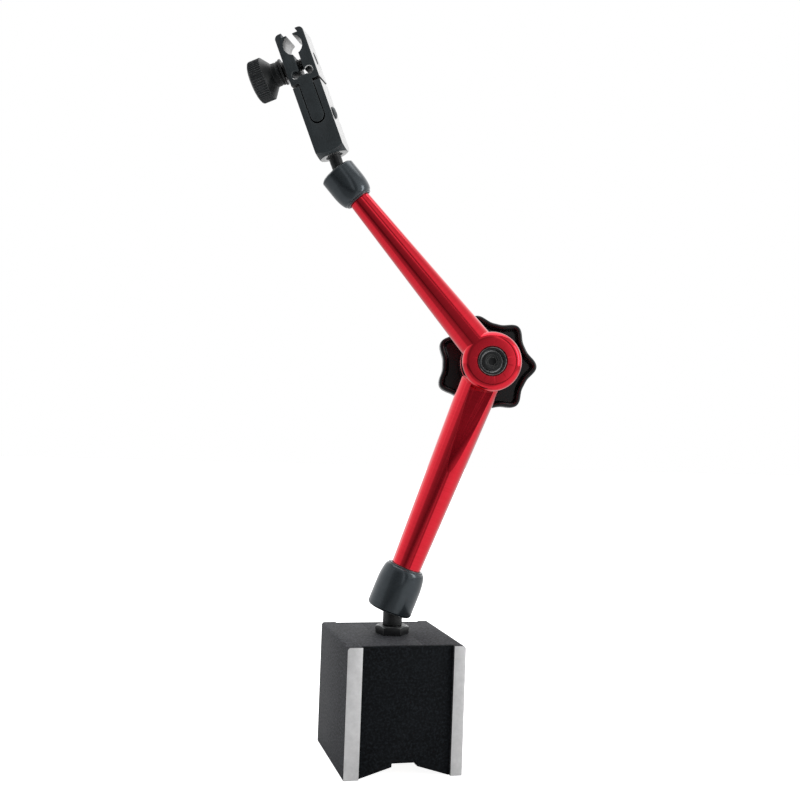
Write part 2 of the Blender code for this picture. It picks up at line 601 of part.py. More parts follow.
def build_lock_cones():
    """Sleeves on the tie bolt, their 45 degree tapers facing each other."""
    bore_r = BOLT_R + GAP
    taper = CONE_R - CONE_NOSE_R
    nose_end = UPPER_HUB_MID - CONE_SHIFT
    lower = [(bore_r, 9.0), (CONE_R, 9.0), (CONE_R, CONE_SHIFT + taper),
             (CONE_NOSE_R, CONE_SHIFT), (CONE_NOSE_R, -5.0), (bore_r, -5.0)]
    upper = [(bore_r, -12.3), (CONE_NOSE_R, -12.3), (CONE_NOSE_R, nose_end),
             (CONE_R, nose_end - taper), (CONE_R, -20.4), (bore_r, -20.4)]
    part(turned("lower_lock_cone", lower), elbow_pivot, STEEL)
    part(turned("upper_lock_cone", upper), elbow_pivot, STEEL)


def build_tie_bolt():
    bolt = turned("tie_bolt", [
        (0, 19.0), (BOLT_R - END_CHAMFER, 19.0), (BOLT_R, 18.6), (BOLT_R, -20.7),
        (4.2, -20.7), (4.2, -23.8), (3.9, -24.1), (0, -24.1)])
    part(bolt, elbow_pivot, BLACK_STEEL)
    tool(outline("cut_hex_socket", hexagon(2.2), -26, -21.8), elbow_pivot, bolt)


def build_elbow_rings():
    guide = turned("hub_guide_ring", [
        (4.9, -22.2), (6.05, -22.2), (6.05, -24.0), (5.85, -24.2), (5.1, -24.2), (4.9, -24.0)])
    part(guide, elbow_pivot, BLACK_STEEL)
    part(ring("hub_washer", BOLT_HOLE_R, 10.5, -9.35, -8.75), elbow_pivot, BRASS)
    part(ring("knob_washer", BOLT_HOLE_R, 9.5, 9.3, 10.3), elbow_pivot, STEEL)


# --------------------------------------------------------------------------
# star knob
# --------------------------------------------------------------------------
def star_outline():
    """The star as seen from the front, X right and Y up."""
    points = []
    for i in range(STAR_STEPS):
        angle = tau * i / STAR_STEPS
        lobe = abs(cos(STAR_LOBES / 2 * (angle - radians(STAR_PHASE)))) ** STAR_POWER
        radius = STAR_VALLEY + (STAR_TIP - STAR_VALLEY) * lobe
        points.append((radius * cos(angle), radius * sin(angle)))
    return points


def build_star_knob():
    """Lobed knob, domed at the rear, with a ring pocket in front."""
    # the elbow frame's Y points down, so the star is drawn mirrored
    points = [(x, -y) for x, y in reversed(star_outline())]
    knob = outline("elbow_knob", points, STAR_FRONT, STAR_REAR - 2.5)
    part(knob, elbow_pivot, PLASTIC)
    crown = turned("form_star_crown", [
        (0, STAR_REAR), (13.5, STAR_REAR - 0.4), (18.0, STAR_REAR - 2.0),
        (18.2, STAR_REAR - 4), (0, STAR_REAR - 4)], SEG_LARGE)
    tool(crown, elbow_pivot, knob, how="UNION")
    pocket = ring("cut_star_pocket", 7.6, 15.8, STAR_FRONT - 2, STAR_FRONT + 6, SEG_LARGE)
    tool(pocket, elbow_pivot, knob)
    tool(rod("cut_star_insert", 5.3, STAR_FRONT - 2, 20.6, 6), elbow_pivot, knob)


def build_knob_insert():
    insert = outline("knob_insert", hexagon(4.95, 30), STAR_FRONT + 0.1, 20.2)
    part(insert, elbow_pivot, BRASS)
    tool(rod("cut_insert_bore", BOLT_R + GAP, 0, 30, SEG_SMALL), elbow_pivot, insert)


# --------------------------------------------------------------------------
# clamp head
# --------------------------------------------------------------------------
def build_fork():
    """Block with a turned foot and a pocket in its front for the jaw's tongue."""
    half = FORK_WIDTH / 2
    points = [(-half, FORK_BOTTOM), (half, FORK_BOTTOM), (half, FORK_TOP), (-half, FORK_TOP)]
    fork = outline("head_fork", points, -HEAD_HALF, HEAD_HALF)
    part(fork, head_pivot, HEAD_BLACK, at=FACE_FRAME)
    foot = turned("form_fork_foot", [
        (0, FORK_TOP + 5), (20, FORK_TOP + 5), (20, FORK_BOTTOM + 9.4),
        (6.2, FORK_BOTTOM), (0, FORK_BOTTOM)], SEG_LARGE)
    tool(foot, head_pivot, fork, how="INTERSECT")
    half = TONGUE_WIDTH / 2 + TONGUE_SIDE
    points = [(half, FORK_TOP + 3), (-half, FORK_TOP + 3)]
    points += arc((0, TONGUE_Z - TONGUE_END + half), half, 180, 360, 12)
    pocket = outline("cut_fork_pocket", points, HEAD_HALF - POCKET_T, HEAD_HALF + 3)
    tool(pocket, head_pivot, fork, at=FACE_FRAME)
    tool(rod("cut_fork_stud", HEAD_STUD_R + GAP, 5, 21.4, SEG_SMALL), head_pivot, fork)
    bore_r = PIN_R + GAP
    pin_bore = turned("cut_fork_pin", [(0, 20), (bore_r, 20), (bore_r, -5.0), (0, -5.0)],
                      SEG_SMALL)
    tool(pin_bore, head_pivot, fork, at=PIN_FRAME)
    tool(rod("cut_fine_screw", FINE_SCREW_R + GAP, 0, 20, SEG_SMALL), head_pivot, fork,
         at=WORLD[fine_pivot.name])


def build_jaw_screw():
    """Round-headed pivot screw, put in from the right."""
    side = FORK_WIDTH / 2
    screw = turned("jaw_pivot_screw", [
        (0, side + 1.3), (1.4, side + 1.2), (2.4, side + 0.8), (2.75, side + 0.05),
        (PIN_R, side + 0.05), (PIN_R, -4.6), (0, -4.6)])
    part(screw, head_pivot, BLACK_STEEL, at=PIN_FRAME)


def jaw_outline():
    """Clamp jaw seen from the front: relief holes, slit, stem bore, dovetail mouth."""
    corner_x, corner_z = JAW_HALF - JAW_CORNER_R, JAW_TOP - JAW_CORNER_R
    slit_half = SLIT_WIDTH / 2
    slot_top = RELIEF_Z + CROSS_SLOT_HALF
    stem = (0, STEM_Z)
    lip_angle = degrees(asin((LIP_GAP / 2) / STEM_R))
    slit_angle = degrees(asin(slit_half / STEM_R))
    slot_angle = degrees(asin(CROSS_SLOT_HALF / RELIEF_R))
    points = [(-JAW_HALF, JAW_BOTTOM), (JAW_HALF, JAW_BOTTOM)]
    points += arc((corner_x, corner_z), JAW_CORNER_R, 0, 90, 4)
    # down the right side of the mouth, stem bore and slit
    points += [(DOVETAIL_TOP / 2, JAW_TOP), (DOVETAIL_IN / 2, LIP_Z), (LIP_GAP / 2, LIP_Z)]
    points += arc(stem, STEM_R, 90 - lip_angle, -90 + slit_angle, 16)
    points += [(slit_half, slot_top)]
    # round both relief holes
    points += arc((RELIEF_X, RELIEF_Z), RELIEF_R, 180 - slot_angle, -180 + slot_angle, 16)
    points += arc((-RELIEF_X, RELIEF_Z), RELIEF_R, -slot_angle, -360 + slot_angle, 16)
    # and back up the left side
    points += [(-slit_half, slot_top)]
    points += arc(stem, STEM_R, 270 - slit_angle, 90 + lip_angle, 16)
    points += [(-LIP_GAP / 2, LIP_Z), (-DOVETAIL_IN / 2, LIP_Z), (-DOVETAIL_TOP / 2, JAW_TOP)]
    points += arc((-corner_x, corner_z), JAW_CORNER_R, 90, 180, 4)
    return points


def build_jaw():
    jaw = outline("stem_clamp_jaw", jaw_outline(), -HEAD_HALF, HEAD_HALF)
    part(jaw, jaw_pivot, HEAD_BLACK, at=FACE_FRAME)
    half = TONGUE_WIDTH / 2
    points = [(half, JAW_BOTTOM + 0.5), (-half, JAW_BOTTOM + 0.5)]
    points += arc((0, TONGUE_Z + half), half, 180, 360, 12)
    tongue = outline("form_tongue", points, HEAD_HALF - TONGUE_T, HEAD_HALF)
    tool(tongue, jaw_pivot, jaw, how="UNION", at=FACE_FRAME)
    tool(rod("cut_tongue_pin", PIN_R + GAP, -10, 10, SEG_SMALL), jaw_pivot, jaw)
    tool(rod("cut_clamp_screw", CLAMP_SCREW_R + GAP, -20, 20, SEG_SMALL), jaw_pivot, jaw,
         at=WORLD[clamp_pivot.name])


def build_clamp_knob():
    """Knob, screw, collar and washer on the jaw's left side."""
    bore_r = CLAMP_SCREW_R + GAP
    collar = ring("clamp_collar", bore_r, 4.0, JAW_HALF + 0.35, JAW_HALF + 1.55)
    part(collar, clamp_pivot, BLACK_STEEL)
    washer = ring("clamp_washer", bore_r, 5.75, JAW_HALF + 1.85, JAW_HALF + 2.8)
    part(washer, clamp_pivot, BLACK_STEEL)
    foot = JAW_HALF + 3.1
    knob = turned("clamp_knob", [
        (0, 22.8), (7.6, 22.8), (9.0, 22.2), (CLAMP_KNOB_R, 21.1), (CLAMP_KNOB_R, 16.8),
        (CLAMP_KNOB_R - 0.5, 16.2), (5.4, 13.3), (CLAMP_NECK_R, 13.1), (CLAMP_NECK_R, foot),
        (0, foot)], SEG_LARGE)
    part(knob, clamp_pivot, PLASTIC)
    tool(rod("cut_clamp_knob", bore_r, 0, 19.8, SEG_SMALL), clamp_pivot, knob)
    screw = turned("clamp_screw", [
        (0, 19.4), (CLAMP_SCREW_R, 19.4), (CLAMP_SCREW_R, -6.0), (2.2, -6.3), (0, -6.3)],
        SEG_SMALL)
    part(screw, clamp_pivot, BLACK_STEEL)


def build_fine_adjust():
    """Screw through the fork's back wall, with its small knob behind."""
    tip = TONGUE_T - HEAD_HALF + GAP       # just behind the tongue
    screw = turned("fine_adjust_screw", [
        (0, 12.4), (FINE_SCREW_R, 12.4), (FINE_SCREW_R, tip + 0.5), (1.0, tip), (0, tip)],
        SEG_SMALL)
    part(screw, fine_pivot, STEEL)
    knob = turned("fine_adjust_knob", [
        (0, 14.4), (3.9, 14.4), (4.4, 13.9), (4.4, 9.3), (4.0, 8.8), (0, 8.8)])
    part(knob, fine_pivot, BLACK_STEEL)
    tool(rod("cut_fine_knob", FINE_SCREW_R + GAP, 0, 12.8, SEG_SMALL), fine_pivot, knob)


def centre_footprint():
    """Moves the root so the origin is the middle of the whole footprint, at the feet."""
    bpy.context.view_layer.update()
    depsgraph = bpy.context.evaluated_depsgraph_get()
    points = []
    for obj in parts.objects:
        if obj.type == "MESH":
            evaluated = obj.evaluated_get(depsgraph)
            mesh = evaluated.to_mesh()
            points += [obj.matrix_world @ v.co for v in mesh.vertices]
            evaluated.to_mesh_clear()
    low, high = ([pick(p[i] for p in points) for i in range(3)] for pick in (min, max))
    root.location = (-(low[0] + high[0]) / 2, -(low[1] + high[1]) / 2, -low[2])
    bpy.context.view_layer.update()


build_base()
build_lock_nut()
build_rotor()
build_switch_knob()
build_lower_joint()
build_lower_arm()
build_upper_arm()
build_upper_joint()
build_push_rods()
build_lock_cones()
build_tie_bolt()
build_elbow_rings()
build_star_knob()
build_knob_insert()
build_fork()
build_jaw_screw()
build_jaw()
build_clamp_knob()
build_fine_adjust()
centre_footprint()
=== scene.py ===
"""A jointed magnetic stand: a switchable magnetic base, two red arms hinged at a
star-knob elbow, a ball joint at each outer end, and a black clamp head with a jaw.

World: Z up, the base's front towards -Y. Joint places and axes come from the loaded
model; drawn sizes are in millimetres, in the frames set up below.
"""
import json
import math

import bpy
import bmesh
from mathutils import Matrix, Vector


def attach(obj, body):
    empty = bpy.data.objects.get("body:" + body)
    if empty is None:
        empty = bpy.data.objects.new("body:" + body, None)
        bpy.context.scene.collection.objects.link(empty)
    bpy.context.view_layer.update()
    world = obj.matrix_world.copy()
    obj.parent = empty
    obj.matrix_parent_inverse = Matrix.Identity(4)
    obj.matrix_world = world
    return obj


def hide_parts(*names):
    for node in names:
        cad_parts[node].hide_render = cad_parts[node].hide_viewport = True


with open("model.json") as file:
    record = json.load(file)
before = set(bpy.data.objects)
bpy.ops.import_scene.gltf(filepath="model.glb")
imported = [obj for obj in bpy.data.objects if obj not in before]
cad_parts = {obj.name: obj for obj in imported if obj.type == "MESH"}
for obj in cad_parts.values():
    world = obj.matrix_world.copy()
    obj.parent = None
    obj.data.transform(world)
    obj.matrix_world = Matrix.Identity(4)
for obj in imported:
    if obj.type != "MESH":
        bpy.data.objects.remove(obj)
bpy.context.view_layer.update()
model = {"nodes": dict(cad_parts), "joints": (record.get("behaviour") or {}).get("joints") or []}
MM = 0.001
JOINTS = {joint["name"]: joint for joint in model["joints"]}
rad = math.radians


# ---------------------------------------------------------------------------
# Key places, directions and frames, taken from the joints
# ---------------------------------------------------------------------------
def place(joint):
    return Vector(JOINTS[joint]["pos_m"])


def axis(joint):
    return Vector(JOINTS[joint]["axis"]).normalized()


def frame_at(origin, z_axis, x_hint):
    """A frame with the given Z, and X as near the hint as it can be."""
    z = Vector(z_axis).normalized()
    x = Vector(x_hint)
    x = (x - z * x.dot(z)).normalized()
    matrix = Matrix((x, z.cross(x), z)).transposed().to_4x4()
    matrix.translation = Vector(origin)
    return matrix


STUD_X = 0.0005                    # metres, the stud's offset from the base's middle
LOWER_BALL = place("lower_ball_swivel")
UPPER_BALL = place("head_swivel")
ELBOW = place("elbow_fold")
BASE = LOWER_BALL - Vector((STUD_X, 0, 0.0705))      # middle of the base, at its foot

UP, RIGHTWARD, REARWARD = Vector((0, 0, 1)), (1, 0, 0), (0, 1, 0)
ELBOW_AXIS = axis("elbow_fold")
ELBOW_SIDE = Vector((ELBOW_AXIS.y, -ELBOW_AXIS.x, 0))
LOWER_AXIS = axis("lower_arm_twist")
UPPER_AXIS = axis("upper_ball_twist")
HEAD_AXIS = axis("head_swivel")
ACROSS_HEAD = axis("jaw_rock")
FINE_AXIS = axis("fine_screw_slide")
FINE_HEIGHT = 36.5                 # fine screw above the upper ball

AT_STUD = frame_at(BASE + Vector((STUD_X, 0, 0)), UP, RIGHTWARD)
AT_LOWER_BALL = frame_at(LOWER_BALL, UP, ELBOW_SIDE)
AT_LOWER_ARM = frame_at(LOWER_BALL, LOWER_AXIS, ELBOW_AXIS.cross(LOWER_AXIS))
AT_LOWER_SIDE = frame_at(LOWER_BALL, ELBOW_AXIS.cross(LOWER_AXIS), ELBOW_AXIS)
AT_ELBOW = frame_at(ELBOW, ELBOW_AXIS, ELBOW_SIDE)       # Y down, knob on the +Z side
AT_UPPER_ARM = frame_at(UPPER_BALL, UPPER_AXIS, ELBOW_AXIS.cross(UPPER_AXIS))
AT_HEAD = frame_at(UPPER_BALL, HEAD_AXIS, ACROSS_HEAD)
AT_FACE = frame_at(UPPER_BALL, -FINE_AXIS, ACROSS_HEAD)  # X across, Y up the stud, Z front
AT_PIVOT = frame_at(place("jaw_rock"), ACROSS_HEAD, FINE_AXIS)
AT_CLAMP = frame_at(place("clamp_knob_turn"), -ACROSS_HEAD, FINE_AXIS)
AT_FINE = frame_at(UPPER_BALL + HEAD_AXIS * FINE_HEIGHT * MM, FINE_AXIS, ACROSS_HEAD)
AT_SECTION = frame_at(BASE, (0, -1, 0), RIGHTWARD)       # Y up, Z to the front
AT_REAR = frame_at(BASE + Vector((0, 0, 25 * MM)), REARWARD, RIGHTWARD)  # Z to the rear
LOWER_LENGTH = (ELBOW - LOWER_BALL).length / MM
UPPER_LENGTH = 102.7


# ---------------------------------------------------------------------------
# Node tools
# ---------------------------------------------------------------------------
class Nodes:
    """Adds nodes to one tree; an input value is a constant or another node's output."""

    def __init__(self, tree):
        self.tree = tree

    def feed(self, socket, value):
        if hasattr(value, "is_output"):
            self.tree.links.new(value, socket)
        elif isinstance(value, tuple):
            socket.default_value = (*value, 1.0)
        else:
            socket.default_value = value

    def node(self, kind, inputs=None, **settings):
        node = self.tree.nodes.new("ShaderNode" + kind)
        for key, value in settings.items():
            setattr(node, key, value)
        for socket, value in (inputs or {}).items():
            self.feed(node.inputs[socket], value)
        return node

    def ramp(self, factor, *stops):
        """Stops are (position, grey level or colour)."""
        node = self.node("ValToRGB", {"Fac": factor})
        elements = node.color_ramp.elements
        while len(elements) < len(stops):
            elements.new(0.5)
        for element, (position, color) in zip(elements, stops):
            element.position = position
            rgb = color if isinstance(color, tuple) else (color, color, color)
            element.color = (*rgb, 1.0)
        return node.outputs["Color"]

    def mix(self, factor, first, second, blend="MIX"):
        inputs = {0: factor, 6: first, 7: second}
        return self.node("Mix", inputs, data_type="RGBA", blend_type=blend).outputs[2]

    def math(self, operation, *values):
        return self.node("Math", dict(enumerate(values)), operation=operation).outputs[0]

    def dot(self, first, second):
        inputs = {0: first, 1: second}
        return self.node("VectorMath", inputs, operation="DOT_PRODUCT").outputs["Value"]

    def turn(self, sideways, forward):
        """The angle round the vertical as 0 to 1, with 0.5 straight forward."""
        angle = self.math("ARCTAN2", sideways, forward)
        return self.math("MULTIPLY_ADD", angle, 0.5 / math.pi, 0.5)


class Material(Nodes):
    """One Principled material with textures in object coordinates."""

    SOCKETS = {
        "color": "Base Color", "metallic": "Metallic", "roughness": "Roughness",
        "specular": "Specular IOR Level", "coat": "Coat Weight", "coat_ior": "Coat IOR",
        "coat_roughness": "Coat Roughness", "normal": "Normal",
    }

    def __init__(self, name):
        self.data = bpy.data.materials.new(name)
        self.data.use_nodes = True
        super().__init__(self.data.node_tree)
        self.shader = self.tree.nodes["Principled BSDF"]
        self.coords = self.node("TexCoord").outputs["Object"]

    def set(self, **values):
        for key, value in values.items():
            self.feed(self.shader.inputs[self.SOCKETS[key]], value)
        return self.data

    def noise(self, scale, detail=4.0, rough=0.55, distort=0.0, stretch=None):
        coords = self.coords
        if stretch:
            mapping = self.node("Mapping", {"Scale": Vector(stretch), "Vector": coords})
            coords = mapping.outputs["Vector"]
        return self.node("TexNoise", {
            "Scale": scale, "Detail": detail, "Roughness": rough,
            "Distortion": distort, "Vector": coords,
        }).outputs["Fac"]

    def voronoi(self, scale):
        inputs = {"Scale": scale, "Vector": self.coords}
        return self.node("TexVoronoi", inputs).outputs["Distance"]

    def patches(self, color, where, start, end, amount, patch):
        """Blends in the patch colour as the noise goes from start to end."""
        return self.mix(self.ramp(where, (start, 0.0), (end, amount)), color, patch)

    def edges_wear_and_highlight(self, color, radius, amount, metal):
        """Blends in a metal colour on convex edges and corners: partly wear, partly a painted
        highlight along the edges.
        """
        bevel_node = self.node("Bevel", {"Radius": radius}, samples=4)
        geometry = self.node("NewGeometry")
        flatness = self.dot(bevel_node.outputs["Normal"], geometry.outputs["Normal"])
        edge = self.ramp(flatness, (0.80, 1.0), (0.985, 0.0))
        return self.mix(self.math("MULTIPLY", edge, amount), color, metal)

    def vary(self, noise, swing, base):
        return self.math("ADD", self.math("MULTIPLY", noise, swing), base)

    def bump(self, height, strength, distance):
        inputs = {"Strength": strength, "Distance": distance, "Height": height}
        return self.node("Bump", inputs).outputs["Normal"]


def tint(tone, green, blue):
    """Shades of one hue: green and blue are relative to red."""
    return lambda value: (value * tone, value * green * tone, value * blue * tone)


# ---------------------------------------------------------------------------
# Materials
# ---------------------------------------------------------------------------
def black_paint(name, tone, specular, green=1.05, blue=1.18):
    """Fine wrinkle paint over iron: matt, speckled, with a few pale flecks."""
    mat = Material(name)
    shade = tint(tone, green, blue)
    grain = mat.noise(scale=2600, detail=5, rough=0.65)
    blotches = mat.noise(scale=90, detail=3, rough=0.5)
    color = mat.ramp(grain, (0.30, shade(0.5)), (0.55, shade(0.95)), (0.74, shade(1.8)))
    coarse = mat.noise(scale=1050, detail=2, rough=0.6)
    contrast = mat.ramp(coarse, (0.34, 0.40), (0.50, 0.92), (0.66, 2.2))
    color = mat.mix(1.0, color, contrast, blend="MULTIPLY")
    color = mat.patches(color, blotches, start=0.35, end=0.75, amount=0.4, patch=shade(1.3))
    fleck = mat.ramp(mat.voronoi(scale=520), (0.0, 1.0), (0.05, 1.0), (0.075, 0.0))
    wrinkle = mat.math("MULTIPLY", mat.noise(scale=900, detail=3), 0.8)
    return mat.set(
        color=mat.mix(mat.math("MULTIPLY", fleck, 0.4), color, shade(4.0)),
        roughness=mat.ramp(grain, (0.3, 0.62), (0.7, 0.82)),
        specular=specular,
        normal=mat.bump(mat.math("ADD", grain, wrinkle), strength=0.55, distance=0.00012))


def painted_edge_highlight():
    """A painted highlight on turned lips, chamfers and edges: streaky bright metal colour."""
    mat = Material("painted_highlight_lip")
    # streaks in the painted highlight
    wear_and_glint = mat.noise(scale=420, detail=4, rough=0.6)
    return mat.set(
        color=mat.ramp(wear_and_glint, (0.35, (0.10, 0.11, 0.115)), (0.6, (0.42, 0.43, 0.43))),
        metallic=0.9,
        roughness=mat.vary(wear_and_glint, swing=0.2, base=0.25))


def ground_iron():
    """Surface-ground iron: bright with fine cross scratches and small stains."""
    mat = Material("ground_iron")
    lines = mat.noise(scale=240, detail=6, rough=0.7, stretch=(1.0, 1.0, 9.0))
    gloss = mat.noise(scale=700, detail=4, rough=0.7, stretch=(0.6, 1.0, 6.0))
    stains = mat.noise(scale=160, detail=5, rough=0.6)
    color = mat.ramp(lines, (0.25, 0.58), (0.6, 0.70), (0.8, 0.80))
    return mat.set(
        color=mat.patches(color, stains, start=0.58, end=0.80, amount=0.5,
                          patch=(0.50, 0.50, 0.49)),
        metallic=0.45,
        roughness=mat.ramp(gloss, (0.2, 0.38), (0.8, 0.56)),
        normal=mat.bump(lines, strength=0.25, distance=0.00004))


def red_anodised(name="red_anodised", tone=1.0, coat=0.5):
    """Bright-dipped aluminium under red dye: deep where dark is reflected."""
    mat = Material(name)
    turning = mat.noise(scale=60, detail=4, rough=0.6, stretch=(1.0, 1.0, 26.0))
    fine = mat.noise(scale=1500, detail=3, rough=0.6)
    color = mat.ramp(turning, (0.3, (0.72 * tone, 0.006 * tone, 0.022 * tone)),
                     (0.7, (0.80 * tone, 0.010 * tone, 0.031 * tone)))
    relief = mat.math("ADD", fine, mat.math("MULTIPLY", turning, 0.6))
    return mat.set(
        # pale pink edges: partly wear, partly a painted highlight
        color=mat.edges_wear_and_highlight(color, radius=0.00025, amount=0.5, metal=(0.95, 0.22, 0.26)),
        metallic=1.0,
        roughness=mat.vary(fine, swing=0.06, base=0.10),
        coat=coat, coat_ior=1.5, coat_roughness=0.10,
        normal=mat.bump(relief, strength=0.08, distance=0.00003))


def cap_metal():
    """Dark anodised socket cap: blue-grey, satin, faint turning marks."""
    mat = Material("gunmetal_cap")
    turning = mat.noise(scale=90, detail=4, rough=0.6, stretch=(1.0, 1.0, 40.0))
    fine = mat.noise(scale=1800, detail=4, rough=0.6)
    blotches = mat.noise(scale=110, detail=4, rough=0.6)
    color = mat.ramp(turning, (0.3, (0.030, 0.039, 0.045)), (0.7, (0.042, 0.053, 0.061)))
    color = mat.patches(color, blotches, start=0.45, end=0.8, amount=0.5,
                        patch=(0.060, 0.073, 0.082))
    return mat.set(
        # pale edges: partly wear, partly a painted highlight
        color=mat.edges_wear_and_highlight(color, radius=0.0003, amount=0.8, metal=(0.55, 0.57, 0.58)),
        metallic=0.65,
        roughness=mat.vary(fine, swing=0.12, base=0.15),
        specular=0.6, coat=0.25, coat_roughness=0.12,
        normal=mat.bump(mat.math("ADD", fine, turning), strength=0.10, distance=0.00003))


def head_black(name, tone, edge_wear_and_highlight, specular=0.6):
    """Black anodised milled aluminium with blue-green cast and a fine grain."""
    mat = Material(name)
    shade = tint(tone, 1.28, 1.42)
    fine = mat.noise(scale=2200, detail=4, rough=0.65)
    milling = mat.noise(scale=140, detail=4, rough=0.6, stretch=(1.0, 12.0, 1.0))
    blotches = mat.noise(scale=120, detail=3, rough=0.55)
    color = mat.ramp(fine, (0.3, shade(0.020)), (0.7, shade(0.034)))
    color = mat.patches(color, blotches, start=0.4, end=0.8, amount=0.45, patch=shade(0.042))
    relief = mat.math("ADD", fine, mat.math("MULTIPLY", milling, 0.7))
    return mat.set(
        # pale edges: partly wear, partly a painted highlight
        color=mat.edges_wear_and_highlight(color, radius=0.00022, amount=edge_wear_and_highlight,
                             metal=(0.36, 0.38, 0.39)),
        metallic=0.15,
        roughness=mat.ramp(milling, (0.3, 0.34), (0.7, 0.46)),
        specular=specular,
        normal=mat.bump(relief, strength=0.16, distance=0.00004))


def bare_aluminium(name="machined_aluminium", tone=1.0):
    """Machined aluminium where the black finish is cut away."""
    mat = Material(name)
    shade = tint(tone, 1.0, 1.0)
    turning = mat.noise(scale=300, detail=4, rough=0.6, stretch=(1.0, 1.0, 8.0))
    fine = mat.noise(scale=1500, detail=4)
    wear_and_glint = mat.noise(scale=210, detail=5, rough=0.65, distort=0.3)
    color = mat.ramp(turning, (0.3, (*shade(0.62)[:2], 0.61 * tone)),
                     (0.7, (*shade(0.76)[:2], 0.75 * tone)))
    return mat.set(
        color=mat.patches(color, wear_and_glint, start=0.50, end=0.78, amount=0.55,
                          patch=(*shade(0.50)[:2], 0.49 * tone)),
        metallic=0.95,
        roughness=mat.vary(fine, swing=0.15, base=0.28),
        normal=mat.bump(turning, strength=0.2, distance=0.00004))


def black_steel():
    """Oil-blackened steel, satin, brighter on its edges: partly rubbed, partly a painted
    highlight.
    """
    mat = Material("blackened_steel")
    fine = mat.noise(scale=1700, detail=5, rough=0.65)
    blotches = mat.noise(scale=170, detail=4, rough=0.6)
    color = mat.ramp(blotches, (0.35, (0.016, 0.017, 0.018)), (0.75, (0.036, 0.037, 0.038)))
    return mat.set(
        # pale edges: partly rubbed metal, partly a painted highlight
        color=mat.edges_wear_and_highlight(color, radius=0.0003, amount=0.85, metal=(0.48, 0.49, 0.48)),
        metallic=0.55,
        roughness=mat.vary(fine, swing=0.14, base=0.24),
        normal=mat.bump(fine, strength=0.12, distance=0.00004))


def bright_steel():
    """Turned bare steel."""
    mat = Material("bright_steel")
    turning = mat.noise(scale=260, detail=4, rough=0.6, stretch=(1.0, 1.0, 10.0))
    fine = mat.noise(scale=1600, detail=4)
    return mat.set(
        color=mat.ramp(turning, (0.3, (0.50, 0.50, 0.51)), (0.7, (0.66, 0.66, 0.66))),
        metallic=1.0,
        roughness=mat.vary(fine, swing=0.14, base=0.20),
        normal=mat.bump(turning, strength=0.15, distance=0.00004))


def brass():
    """Turned brass with dull patches."""
    mat = Material("machined_brass")
    turning = mat.noise(scale=260, detail=4, rough=0.6, stretch=(1.0, 1.0, 10.0))
    blotches = mat.noise(scale=130, detail=4)
    color = mat.ramp(turning, (0.3, (0.58, 0.38, 0.12)), (0.7, (0.72, 0.50, 0.18)))
    return mat.set(
        color=mat.patches(color, blotches, start=0.5, end=0.8, amount=0.5,
                          patch=(0.42, 0.27, 0.10)),
        metallic=1.0,
        roughness=mat.vary(blotches, swing=0.18, base=0.22),
        normal=mat.bump(turning, strength=0.15, distance=0.00004))


def plastic():
    """Moulded black thermoplastic: faint orange-peel, soft gloss."""
    mat = Material("moulded_black_plastic")
    peel = mat.noise(scale=420, detail=3, rough=0.5)
    fine = mat.noise(scale=2400, detail=3, rough=0.6)
    relief = mat.math("ADD", mat.math("MULTIPLY", peel, 1.0), mat.math("MULTIPLY", fine, 0.3))
    return mat.set(
        color=mat.ramp(fine, (0.3, (0.0030, 0.0034, 0.0042)), (0.7, (0.0058, 0.0064, 0.0076))),
        roughness=mat.vary(peel, swing=0.12, base=0.20),
        specular=0.42,
        normal=mat.bump(relief, strength=0.12, distance=0.00006))


def magnet_grey():
    """Dull sintered magnet."""
    mat = Material("sintered_magnet")
    fine = mat.noise(scale=1200, detail=5, rough=0.7)
    return mat.set(
        color=mat.ramp(fine, (0.3, (0.07, 0.07, 0.075)), (0.7, (0.13, 0.13, 0.135))),
        metallic=0.2,
        roughness=0.7,
        normal=mat.bump(fine, strength=0.3, distance=0.00008))


PAINT = black_paint("black_wrinkle_paint", tone=0.037, specular=0.30)
# a much darker copy of the body paint for the cover plates: painted shade on their faces
PANEL_SHADE = black_paint("black_panel_paint_painted_shade", tone=0.0062, specular=0.09, green=1.22, blue=1.48)
IRON = ground_iron()
RED = red_anodised()
CAP = cap_metal()
HEAD = head_black("black_anodised_head", tone=1.06, edge_wear_and_highlight=0.5)
KNURL = head_black("black_anodised_knurl", tone=0.38, edge_wear_and_highlight=0.8, specular=0.5)
# a darker copy of the knob finish for its cone and neck: painted shade
CONE_SHADE = head_black("black_anodised_cone_painted_shade", tone=0.16, edge_wear_and_highlight=0.9, specular=0.3)
BARE = bare_aluminium()
BLACK = black_steel()
STEEL = bright_steel()
BRASS = brass()
PLASTIC = plastic()
MAGNET = magnet_grey()
# painted highlight for turned lips, chamfers and edges
LIP_HIGHLIGHT = painted_edge_highlight()
BORED = bare_aluminium("bored_aluminium", tone=0.62)
# near black for the slot, the tongue's sides and the faces across the fork-jaw gap: painted
# shade
GAP_SHADE = head_black("painted_gap_shade", tone=0.16, edge_wear_and_highlight=0.2)
PIVOT_BLACK = head_black("black_pivot_screw", tone=0.9, edge_wear_and_highlight=0.35)
# a darker red copy for the lower arm's flats: painted shade standing in for their dark
# reflection
FLAT_RED_SHADE = red_anodised("red_anodised_flat_painted_shade", tone=0.58, coat=0.22)


# ---------------------------------------------------------------------------
# Mesh tools
# ---------------------------------------------------------------------------
scrap = []                         # boolean tools, removed once all is built


def new_object(name, bm, mats, smooth):
    mesh = bpy.data.meshes.new(name)
    bm.to_mesh(mesh)
    bm.free()
    for mat in mats:
        mesh.materials.append(mat)
    ob = bpy.data.objects.new(name, mesh)
    bpy.context.scene.collection.objects.link(ob)
    if smooth:
        mesh.shade_smooth()
        mesh.set_sharp_from_angle(angle=rad(smooth))
    return ob


